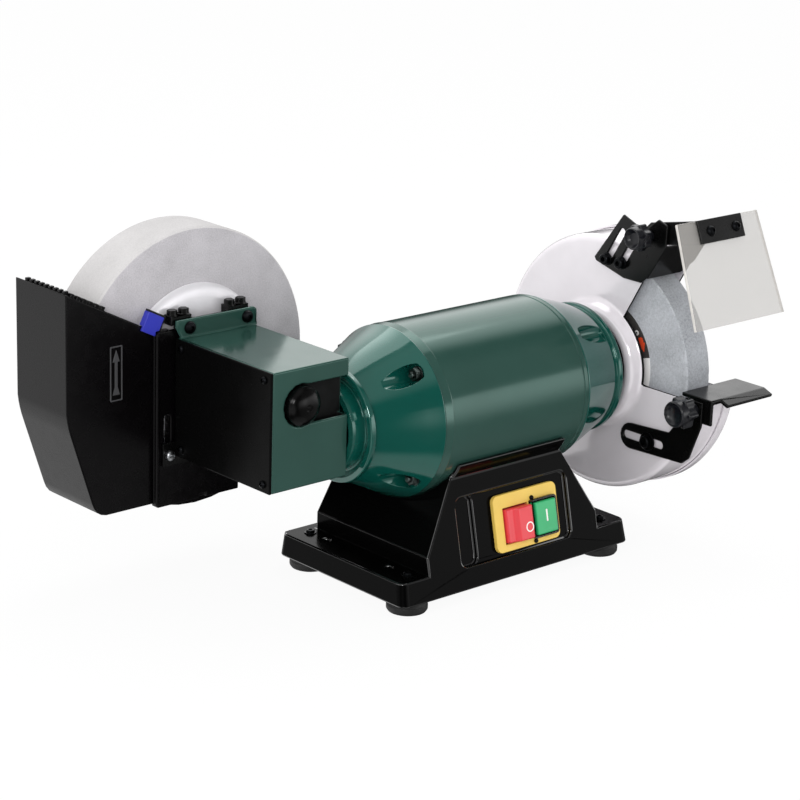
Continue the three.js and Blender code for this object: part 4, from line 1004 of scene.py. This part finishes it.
class GRINDER_OT_dry_wheel(bpy.types.Operator):
    """Coarse dry wheel with its paper washer, direction arrow and polished inner flange"""

    bl_idname = "grinder.dry_wheel"
    bl_label = "Dry wheel"

    def execute(self, context):
        sizes = context.scene.grinder_sizes
        r, paper = sizes.wheel_radius / MM, sizes.blotter_radius / MM
        wheel = turned("dry_stone_wheel", stepped(r, WHEEL_FACE, WHEEL_BACK, 0.9, 14),
                       "x", MOTOR, 220)
        roughened(wheel, 0.5, 2.2)
        smooth(wheel, 40)
        settle(wheel, "rotor", "dry_stone", "dry_wheel", slot="stone_dry")
        paint_faces(wheel, "dry_rim", lambda spot, normal: (
            abs(normal.x) < 0.7 and from_axis(spot) > 50))

        face = WHEEL_FACE - 0.35
        washer = turned("wheel_blotter", ring(34.6, paper, face, WHEEL_FACE - 0.05),
                        "x", MOTOR, 120)
        smooth(washer)
        settle(washer, "rotor", "blotter_paper", slot="stone_dry")

        def on_label(spot, normal):
            turn = math.degrees(math.atan2(spot.z - MOTOR[1], spot.y - MOTOR[0])) % 360
            return 166 < turn < 202

        paint_faces(washer, "label_white", on_label)

        turn = math.radians(152)
        along = Vector((0, -math.sin(turn), math.cos(turn)))
        out = Vector((0, math.cos(turn), math.sin(turn)))
        hub = Vector((face, MOTOR[0], MOTOR[1])) + out * 45.4
        shape = [(-6, -1.6), (-4.8, -2.5), (-1, -2.3), (-1, -3.6), (5.6, 0), (-1, 3.6), (-1, 2.3),
                 (-4.8, 2.5), (-6, 1.6)]
        arrow = slab("turn_arrow", [hub + along * a + out * b for a, b in shape], (-0.25, 0, 0))
        settle(smooth(arrow), "rotor", "label_arrow")
        turn = math.radians(139)
        hub = (MOTOR[0] + 45 * math.cos(turn), MOTOR[1] + 45 * math.sin(turn))
        dot = turned("turn_dot", ring(0.9, 2.1, face - 0.25, face), "x", hub, 24)
        settle(smooth(dot), "rotor", "label_white")

        inner = WHEEL_FACE - 0.3
        flange = turned("inner_flange", [
            (BORE, inner), (34, inner), (34, inner - 1.6), (33, inner - 2.2), (16, inner - 3.8),
            (14, inner - 4), (BORE, inner - 4), (BORE, inner),
        ], "x", MOTOR, 96)
        soften(flange, 0.2, 2, 30)
        settle(flange, "rotor", "polished_steel", "dry_inner_flange", slot="steel")
        return {"FINISHED"}


def cap_screw(name, axis_spot, face, head, height, washer):
    """Socket-head screw along x on a washer, its head facing the left."""
    y, z = axis_spot
    body = turned(name, [
        (0, face - height), (head - 0.6, face - height), (head, face - height + 0.6),
        (head, face - 1.3), (washer - 0.3, face - 1.3), (washer, face - 1), (washer, face),
        (2.5, face), (2.5, face + 4.8), (0, face + 4.8),
    ], "x", (y, z), 36)
    socket = turned("socket", disc(head * 0.52, face - height - 1, face - height + 2),
                    "x", (y, z), 6)
    return soften(cut(body, socket), 0.2, 2)


class GRINDER_OT_arrestor(bpy.types.Operator):
    """Spark arrestor on two slots, its screws, and the screw of the tool rest"""

    bl_idname = "grinder.arrestor"
    bl_label = "Spark arrestor"

    def execute(self, context):
        pressed("arrestor_plate", "spark_arrestor", "arrestor", 0.5)
        face = low("spark_arrestor", "x") - 0.3
        for i in (1, 2):
            screw = cap_screw(f"arrestor_bolt_{i}", middle(f"arrestor_screw_{i}", "y", "z"),
                              face, 4.2, 5, 5)
            settle(screw, "base", "black_oxide", f"arrestor_screw_{i}", slot="steel")
        screw = cap_screw("rest_bolt", middle("rest_screw", "y", "z"), face, 4.6, 5, 7.2)
        settle(screw, "base", "black_oxide", "rest_screw", slot="steel")
        return {"FINISHED"}


def on_shield(piece):
    """Puts a piece, drawn with the shield's top edge at zero, in the shield's tilt."""
    return carried(piece, SHIELD_TOP, SHIELD_LEAN)


def lobed_grip(name, spot, radius, lobes, depth, start, end):
    """Knob with a ring of soft lobes and a round cap in front that is hollowed in its face."""
    y, z = spot
    face, cap = start - 5.6, radius * 0.8  # front and radius of the round cap
    outline = []
    for i in range(lobes * 12):
        a = math.tau * (i / (lobes * 12)) + 0.4
        wave = math.cos(lobes * a)
        r = radius * (1 - depth + depth * (wave + 0.35 * wave * wave) / 1.35)
        outline.append((start, y + r * math.cos(a), z + r * math.sin(a)))
    grip = slab(name, outline, (end - start, 0, 0))
    soften(grip, 1.2, 3, 50)
    front = turned("cap", [
        (0, face + 3.4), (cap * 0.5, face + 3.2), (cap * 0.7, face + 1.6),
        (cap * 0.8, face + 0.2), (cap * 0.9, face), (cap, face + 1.1),
        (cap * 1.02, start + 2), (0, start + 2),
    ], "x", spot, 56)
    return gathered(name, [grip, soften(front, 0.2, 1, 40)])


def star_knob(name, node, body, radius, lobes, depth, start, boss):
    """Lobed grip on its boss and threaded shank, in place of a knob of the frame."""
    spot, back = middle(node, "y", "z"), 132.4
    seat, tip = low("spark_arrestor", "x") - 0.3, high(node, "x")
    grip = lobed_grip("grip", spot, radius, lobes, depth, start, back)
    stem = turned("stem", [
        (0, back - 2), (boss, back - 2), (boss, back + 1), (boss * 0.8, back + 2),
        (boss * 0.8, seat), (2.5, seat), (2.5, tip - 0.6), (1.9, tip), (0, tip),
    ], "x", spot, 36)
    knob = gathered(name, [grip, soften(stem, 0.2, 1)])
    settle(knob, body, "knob_plastic", node, slot="black_plastic")


def button_head(profile, spot, socket):
    """Round screw head along y with a hexagon socket."""
    head = turned("head", profile, "y", spot, 32)
    return smooth(cut(head, turned("socket", disc(*socket), "y", spot, 6)))


class GRINDER_OT_eye_shield(bpy.types.Operator):
    """Clear eye shield with its arm, clamp strip, two screws and knob"""

    bl_idname = "grinder.eye_shield"
    bl_label = "Eye shield"

    def execute(self, context):
        pane = slab("shield_pane", [
            (118, 0, 0), (113, 0, -79), (211, 0, -79), (206, 0, 0),
        ], (0, 2.5, 0))
        on_shield(soften(pane, 0.4, 2))
        settle(pane, "shield", "clear_sheet", "eye_shield", slot="clear")
        flat = Matrix.Rotation(SHIELD_LEAN, 3, "X") @ Vector((0, 1, 0))
        paint_faces(pane, "clear_edge", lambda spot, normal: abs(normal.dot(flat)) < 0.8)

        pressed("shield_bend", "shield_arm", "shield", 0.5)

        strip = block("clamp_strip", (137, -2.3, -17.5), (185, -0.3, 0))
        on_shield(soften(strip, 0.5, 2))
        settle(strip, "shield", "plate_black", "shield_clamp", slot="black_paint")
        profile = [(0, -5.2), (1.6, -5), (3, -4.3), (3.9, -3.2), (4.1, -2.3), (0, -2.3)]
        heads = [button_head(profile, (x, -9.2), (1.7, -6, -4)) for x in (149.5, 177)]
        screws = on_shield(gathered("clamp_screws", heads))
        settle(screws, "shield", "black_oxide", slot="steel")
        radius = context.scene.grinder_sizes.shield_knob / MM
        star_knob("shield_grip", "shield_knob", "shield_clamp_knob", radius, 7, 0.11, 125.4, 5.8)
        return {"FINISHED"}


class GRINDER_OT_tool_rest(bpy.types.Operator):
    """Tool rest: slotted bracket, tilting table with a folded lip, and its star knob"""

    bl_idname = "grinder.tool_rest"
    bl_label = "Tool rest"

    def execute(self, context):
        pressed("rest_support", "rest_bracket", "rest", 0.5)
        pressed("rest_plate", "rest_table", "table", 0.7, 3, 20)
        radius = context.scene.grinder_sizes.rest_knob / MM
        star_knob("rest_grip", "rest_knob", "rest_clamp_knob", radius, 6, 0.17, 122.4, 6.6)
        return {"FINISHED"}


# ----------------------------------------------------------------- gearbox and wet stone

CASE_LEFT = low("gearbox_cover", "x")
CASE_RIGHT = low("left_bell", "x")
CASE_FRONT = low("gearbox_cover", "y")
CASE_BACK = high("gearbox_cover", "y")
CASE_LOW = low("gearbox_cover", "z")
CASE_TOP = high("gearbox_cover", "z")


def pan_head(name, x, spot, radius):
    """Pan-head screw with a cross recess, its axis along x and its head to the left."""
    y, z = spot
    head = turned(name, [
        (0, x - 2.2), (radius * 0.45, x - 2.1), (radius * 0.8, x - 1.6), (radius, x - 0.8),
        (radius, x), (0, x),
    ], "x", (y, z), 28)
    for v, w in ((0.45, radius * 0.6), (radius * 0.6, 0.45)):
        cut(head, block("bar", (x - 3, y - v, z - w), (x - 1.2, y + v, z + w)))
    return smooth(head)


class GRINDER_OT_gear_case(bpy.types.Operator):
    """Sheet-metal gearbox with its side cover, the cover's screws and the domed shaft cap"""

    bl_idname = "grinder.gear_case"
    bl_label = "Gearbox"

    def execute(self, context):
        case = pressed("gear_case", "gearbox_housing", "base", 1, 3,
                       finish="green_gloss", slot="green_paint")
        rim = 2.2  # wall and its rounded edge, which stay green

        # Faces inside the hollow case are painted near-black: painted shade in the case's interior
        def inside(spot, normal):
            return (CASE_LEFT + rim < spot.x < CASE_RIGHT - rim
                    and CASE_FRONT + 1 < spot.y < CASE_BACK - 1
                    and CASE_LOW + rim < spot.z < CASE_TOP - rim)

        paint_faces(case, "case_inside", inside)

        pressed("case_cover", "gearbox_cover", "base", 0.6, finish="cover_black")
        corners = [(y, z) for y in (CASE_FRONT + 7, CASE_BACK - 7)
                   for z in (CASE_LOW + 6, CASE_TOP - 6)]
        heads = [pan_head("head", CASE_LEFT, spot, 2.8) for spot in corners]
        settle(gathered("cover_screws", heads), "base", "black_oxide", slot="steel")

        front, back = low("shaft_cap", "y"), high("shaft_cap", "y")
        seat, r = CASE_FRONT + 3, 14.2
        cap = turned("cap_dome", [
            (0, front), (1.2, front + 0.1), (1.8, front + 0.9), (2.6, front + 0.4),
            (5.2, front + 0.7), (8, front + 1.4), (10.4, front + 2.5), (12, front + 3.7),
            (13, front + 4.7), (13.4, front + 5.4), (14, front + 5.8), (r, front + 6.4),
            (r, seat), (8, seat), (8, back), (0, back),
        ], "y", STONE, 72)
        soften(cap, 0.15, 1, 30)
        settle(cap, "base", "cap_plastic", "shaft_cap", slot="black_plastic")
        return {"FINISHED"}


class GRINDER_OT_hanger(bpy.types.Operator):
    """Plate, rail and screws behind the gearbox that carry the tank and a tool jig"""

    bl_idname = "grinder.hanger"
    bl_label = "Hanger and rail"

    def execute(self, context):
        pressed("hanger_plate", "tank_hanger", "base", 0.4)
        pressed("jig_rail", "rest_rail", "base", 0.5)
        front = CASE_BACK - 3
        profile = [(0, front - 3), (2.2, front - 2.9), (3.9, front - 2.2), (4.6, front - 1),
                   (4.6, front), (0, front)]
        heads = [button_head(profile, (x, 193.8), (1.9, front - 4, front - 1.8))
                 for x in (-192.6, -141.4)]
        settle(gathered("flange_screws", heads), "base", "black_oxide", slot="steel")

        x, z = middle("tank_screw", "x", "z")
        a, b = low("tank_screw", "y"), high("tank_screw", "y")
        bolt = turned("tank_bolt", [
            (0, a), (1.8, a + 0.1), (3, a + 0.6), (3.7, a + 1.5), (3.7, a + 3.5), (2.5, a + 3.5),
            (2.5, b), (0, b),
        ], "y", (x, z), 32)
        cross = block("cross", (x - 2.4, a - 1, z - 0.45), (x + 2.4, a + 0.9, z + 0.45))
        cut(bolt, cross)
        settle(smooth(bolt), "base", "zinc_steel", "tank_screw", slot="steel")
        return {"FINISHED"}


class GRINDER_OT_wet_stone(bpy.types.Operator):
    """Fine wet stone with its dished flange and the flange nut behind it"""

    bl_idname = "grinder.wet_stone"
    bl_label = "Wet stone"

    def execute(self, context):
        sizes = context.scene.grinder_sizes
        r, dish_r = sizes.stone_radius / MM, sizes.dish_radius / MM
        wheel = turned("grind_stone", stepped(r, STONE_FACE, STONE_BACK, 1.2, 16),
                       "y", STONE, 240)
        roughened(wheel, 0.22, 1.6)
        smooth(wheel, 40)
        settle(wheel, "wet_spindle", "wet_stone", "wet_wheel", slot="stone_wet")
        paint_faces(wheel, "wet_rim", lambda spot, normal: abs(normal.y) < 0.8)

        face = STONE_FACE - 0.3
        dish = turned("dish_cover", [
            (BORE, face), (BORE, face - 9), (17, face - 9), (19.6, face - 8.8), (21.8, face - 8),
            (23.8, face - 6.6), (25.2, face - 5.4), (27, face - 5), (34, face - 4.7),
            (44, face - 4.5), (50, face - 4.2), (54, face - 3.6), (57.4, face - 2.6),
            (59.4, face - 1.4), (dish_r, face - 0.4), (dish_r - 0.2, face), (52, face),
            (26, face - 2.4), (12, face - 4), (12, face), (BORE, face),
        ], "y", STONE, 128)
        soften(dish, 0.2, 1, 30)
        settle(dish, "wet_spindle", "dish_metal", "dish_flange", slot="silver_paint")

        a = STONE_BACK + 0.3
        flange = turned("flange", [
            (BORE, a), (30, a), (30, a + 1.6), (29, a + 2.5), (BORE, a + 2.5), (BORE, a),
        ], "y", STONE, 72)
        nut = turned("nut", ring(BORE, 11, a + 2.2, a + 6.5), "y", STONE, 6)
        made = gathered("stone_nut", [soften(flange, 0.2, 2), soften(nut, 0.5, 2)])
        settle(made, "wet_spindle", "zinc_steel", "wet_flange_nut", slot="steel")
        return {"FINISHED"}


class GRINDER_OT_tank(bpy.types.Operator):
    """Water tank with teeth along its rim, a level window with an arrow, and the wiper"""

    bl_idname = "grinder.tank"
    bl_label = "Water tank"

    def execute(self, context):
        sizes = context.scene.grinder_sizes
        tank = copied("tank_shell", "water_tank")
        front = low("water_tank", "y")
        bead = block("panel_bead", (-217.6, front - 0.6, 64), (-214.2, front + 2.6, 191.5))
        settle(soften(bead, 1.6, 5), "tank", "tank_plastic", slot="black_plastic")
        notch = block("notch", (-178.5, front - 2, 58), (-172.5, front + 2.6, 65.4))
        cut(tank, notch)
        soften(tank, 0.9, 3)
        settle(tank, "tank", "tank_plastic", "water_tank", slot="black_plastic")

        left, top = low("water_tank", "x"), high("water_tank", "z")
        pitch = sizes.tooth_pitch / MM
        wall = front + 4.6  # front wall of the tank behind its stepped panel
        room = high("water_tank", "y") - wall
        tooth = block("tooth", (left + 1, wall + 3, top - 5),
                      (left + 4.6, wall + 6.2, top + 1.5))
        soften(tooth, 0.6, 2)
        teeth = [twin(tooth, 0, i * pitch, 0) for i in range(int((room - 8) / pitch))]
        slope_end, rim = -216.0, 192.5  # where the sloping rim ends, and its height there
        turn = math.atan2(top - rim, slope_end - left)
        bar = soften(block("tooth", (-1.7, wall + 0.2, -4), (1.7, wall + 4, 2.6)), 0.6, 2)
        carried(bar, (0, 0, 0), turn, "Y")
        for i in range(int(0.52 * (slope_end - left) / pitch)):
            along = 6 + i * pitch
            teeth.append(twin(bar, left + along * math.cos(turn), 0, top - along * math.sin(turn)))
        bpy.data.objects.remove(tooth)
        bpy.data.objects.remove(bar)
        settle(gathered("rim_teeth", teeth), "tank", "tank_plastic", slot="black_plastic")

        outer = [(u, wall, v) for u, v in rounded_rect(-254, -243.6, 147.6, 187.4, 0.8, 3)]
        window = slab("level_frame", outer, (0, -0.7, 0))
        hole = [(u, wall + 1, v) for u, v in rounded_rect(-253, -244.6, 148.6, 186.4, 0.5, 3)]
        cut(window, slab("hole", hole, (0, -4, 0)))
        arrow = slab("arrow", [
            (-248.8, wall, 184.6), (-251.8, wall, 176), (-250, wall, 176), (-250, wall, 158),
            (-251.8, wall, 152), (-245.8, wall, 152), (-247.6, wall, 158), (-247.6, wall, 176),
            (-245.8, wall, 176),
        ], (0, -0.6, 0))
        marks = gathered("level_mark", [soften(window, 0.15, 1), soften(arrow, 0.15, 1)])
        # The frame and arrow are raised on the tank; their grey finish is a painted highlight of
        # their edges
        settle(marks, "tank", "tank_mark", slot="black_plastic")

        blade = soften(copied("wiper_blade", "wheel_wiper"), 0.3, 2)
        settle(blade, "tank", "wiper_blue", "wheel_wiper", slot="blue")
        near = low("wheel_wiper", "y") + 0.6
        edge = [block("edge", (-12.6, near, 11.3), (3.8, near + 4, 12.8)),
                block("edge", (2.3, near, -1), (3.8, near + 4, 11.6))]
        strip = soften(gathered("wiper_edge", edge), 0.3, 2)
        carried(strip, (slope_end, 0, rim), turn, "Y")
        settle(strip, "tank", "foot_rubber", slot="blue")
        return {"FINISHED"}


# --------------------------------------------------------------------------------- stage

FLOOR_GLOW = 0.93  # share of plain white in the floor that the camera sees
AMBIENT = 0.95  # light on matt surfaces from all round
GLOOM, WALL, WINDOW = 0.06, 1.05, 2.0  # brightness of the room that gloss shows
GLINTS = (  # direction, cosines where it starts and where it is full, brightness
    ((0.6, 0.5, 0.62), 0.8, 0.95, 2.0), ((-0.7, -0.63, -0.3), 0.88, 0.95, 0.9),
    ((0.34, -0.94, 0.05), 0.982, 0.993, 1.3), ((0.1, -0.35, -0.93), 0.85, 0.95, 0.5),
    ((-0.16, -0.31, 0.94), 0.8, 0.95, 0.5),
)
LAMPS = (  # name, place and aim in metres, width, height, watts
    ("left_panel", (-1.9, -0.35, 1.05), (-0.05, 0, 0.12), 1.4, 1.2, 6),
    ("key_panel", (-1.6, -1.45, 0.95), (-0.05, 0, 0.15), 0.5, 0.5, 13),
    ("top_panel", (0.5, 0.6, 1.9), (0, 0, 0.15), 1.6, 1.2, 12),
)
CAMERA_SPOT = (-1221.3, -1276.5, 672.0)
CAMERA_TURN = (42.285, 17.272, 1.89)  # to the right, down and over, in degrees
LENS, SENSOR = 112.87, 36


def lay_floor():
    """Pale floor, plain to the camera but for the grinder's shadow."""
    bpy.ops.object.select_all(action="DESELECT")
    bpy.ops.mesh.primitive_plane_add(size=30, location=(0, 0, 0))
    floor = bpy.context.object
    floor.name = "floor"
    floor.visible_glossy = False  # the studio below shows in the paint instead
    material = bpy.data.materials.new("floor_white")
    material.use_nodes = True
    tree = material.node_tree
    shader = shader_of(material)
    shader.inputs["Base Color"].default_value = (0.86, 0.86, 0.86, 1)
    shader.inputs["Roughness"].default_value = 0.9
    shader.inputs["Specular IOR Level"].default_value = 0.0
    path = add_node(tree, "LightPath")
    seen = maths(tree, "MAXIMUM", path.outputs["Is Camera Ray"],
                 path.outputs["Is Transmission Ray"])
    mix = add_node(tree, "MixShader")
    tree.links.new(maths(tree, "MULTIPLY", seen, FLOOR_GLOW), mix.inputs["Fac"])
    tree.links.new(shader.outputs["BSDF"], mix.inputs[1])
    tree.links.new(add_node(tree, "Emission").outputs["Emission"], mix.inputs[2])
    tree.links.new(mix.outputs["Shader"], tree.nodes["Material Output"].inputs["Surface"])
    floor.data.materials.append(material)


def make_studio(scene):
    """White to the camera, even light on matt surfaces, and a room that gloss shows."""
    world = bpy.data.worlds.new("studio")
    scene.world = world
    world.use_nodes = True
    world.cycles.sampling_method = "NONE"  # so that gloss sees only its own surroundings
    tree = world.node_tree
    path = add_node(tree, "LightPath")
    way = add_node(tree, "TexCoord")

    def toward(direction, start, end, least, most):
        """Brightness that changes with the angle to a direction."""
        angle = add_node(tree, "VectorMath", {1: direction}, operation="DOT_PRODUCT")
        tree.links.new(way.outputs["Generated"], angle.inputs[0])
        span = add_node(tree, "MapRange", {
            "From Min": start, "From Max": end, "To Min": least, "To Max": most,
        }, interpolation_type="SMOOTHSTEP")
        tree.links.new(angle.outputs["Value"], span.inputs["Value"])
        return span.outputs["Result"]

    wall = toward((-0.6, 0.8, 0), 0.2, 0.75, 0.0, WALL)
    side = toward((0.66, -0.75, 0), 0.55, 0.8, 0.0, 1.0)
    level = maths(tree, "MULTIPLY", toward((0, 0, 1), -0.3, 0.1, 0.12, 1.0),
                  toward((0, 0, 1), 0.21, 0.25, 1.0, 0.1))
    window = maths(tree, "MULTIPLY", maths(tree, "MULTIPLY", side, level), WINDOW)
    room = maths(tree, "ADD", maths(tree, "ADD", window, wall), GLOOM)
    for direction, start, end, strength in GLINTS:
        room = maths(tree, "ADD", room, toward(direction, start, end, 0.0, strength))
    direct = maths(tree, "MAXIMUM", path.outputs["Is Camera Ray"],
                   path.outputs["Is Transmission Ray"])
    gloss = add_node(tree, "Mix", {"A": AMBIENT})
    tree.links.new(path.outputs["Is Glossy Ray"], gloss.inputs["Factor"])
    tree.links.new(room, gloss.inputs["B"])
    shown = tree.nodes["Background"]
    shown.inputs["Color"].default_value = (1, 1, 1, 1)
    tree.links.new(maths(tree, "MAXIMUM", direct, gloss.outputs["Result"]),
                   shown.inputs["Strength"])


def hang_lamp(name, spot, aim, width, height, power):
    """Soft square lamp at a spot, in metres, aimed at a place."""
    lamp = bpy.data.lights.new(name, "AREA")
    lamp.shape = "RECTANGLE"
    lamp.size = width
    lamp.size_y = height
    lamp.energy = power
    holder = bpy.data.objects.new(name, lamp)
    bpy.context.scene.collection.objects.link(holder)
    holder.location = spot
    aimed = (Vector(aim) - Vector(spot)).to_track_quat("-Z", "Y")
    holder.rotation_euler = aimed.to_euler()


def set_camera(scene):
    """Camera from the front left, a little above the grinder."""
    yaw, pitch, roll = (math.radians(a) for a in CAMERA_TURN)
    ahead = Vector((math.sin(yaw) * math.cos(pitch), math.cos(yaw) * math.cos(pitch),
                    -math.sin(pitch)))
    flat = Vector((math.cos(yaw), -math.sin(yaw), 0))
    rise = flat.cross(ahead)
    across = flat * math.cos(roll) + rise * math.sin(roll)
    up = rise * math.cos(roll) - flat * math.sin(roll)
    lens = bpy.data.cameras.new("camera")
    lens.sensor_width = SENSOR
    lens.lens = LENS
    lens.clip_start, lens.clip_end = 0.05, 60
    camera = bpy.data.objects.new("camera", lens)
    scene.collection.objects.link(camera)
    camera.matrix_world = Matrix.Translation(place(*CAMERA_SPOT)) @ Matrix(
        (across, up, -ahead)).transposed().to_4x4()
    scene.camera = camera


class GRINDER_OT_stage(bpy.types.Operator):
    """Camera, soft lamps, pale surroundings and the floor that the grinder stands on"""

    bl_idname = "grinder.stage"
    bl_label = "Stage"

    def execute(self, context):
        lay_floor()
        make_studio(context.scene)
        for lamp in LAMPS:
            hang_lamp(*lamp)
        set_camera(context.scene)
        context.scene.view_settings.view_transform = "Standard"
        return {"FINISHED"}


STEPS = (
    "finishes", "inner_parts", "housing", "bells", "tie_bolts", "base", "feet", "gland", "switch",
    "guard", "dry_wheel", "arrestor", "eye_shield", "tool_rest", "gear_case", "hanger",
    "wet_stone", "tank", "stage",
)


class GRINDER_PT_pieces(bpy.types.Panel):
    """Sizes, colours and the buttons that make each group of pieces"""

    bl_label = "Bench grinder"
    bl_space_type = "VIEW_3D"
    bl_region_type = "UI"
    bl_category = "Grinder"

    def draw(self, context):
        column = self.layout.column()
        for group in (context.scene.grinder_sizes, context.scene.grinder_colours):
            for name in group.__annotations__:
                column.prop(group, name)
        for step in STEPS:
            column.operator(f"grinder.{step}")


CLASSES = (
    GrinderSizes, GrinderColours, GRINDER_OT_finishes, GRINDER_OT_inner_parts, GRINDER_OT_housing,
    GRINDER_OT_bells, GRINDER_OT_tie_bolts, GRINDER_OT_base, GRINDER_OT_feet, GRINDER_OT_gland,
    GRINDER_OT_switch, GRINDER_OT_guard, GRINDER_OT_dry_wheel, GRINDER_OT_arrestor,
    GRINDER_OT_eye_shield, GRINDER_OT_tool_rest, GRINDER_OT_gear_case, GRINDER_OT_hanger,
    GRINDER_OT_wet_stone, GRINDER_OT_tank, GRINDER_OT_stage, GRINDER_PT_pieces,
)


def register():
    for kind in CLASSES:
        bpy.utils.register_class(kind)
    bpy.types.Scene.grinder_sizes = bpy.props.PointerProperty(type=GrinderSizes)
    bpy.types.Scene.grinder_colours = bpy.props.PointerProperty(type=GrinderColours)


def unregister():
    del bpy.types.Scene.grinder_colours
    del bpy.types.Scene.grinder_sizes
    for kind in reversed(CLASSES):
        bpy.utils.unregister_class(kind)


def main():
    """Makes every piece."""
    register()
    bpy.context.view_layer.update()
    for step in STEPS:
        getattr(bpy.ops.grinder, step)()


if __name__ == "__main__":
    main()
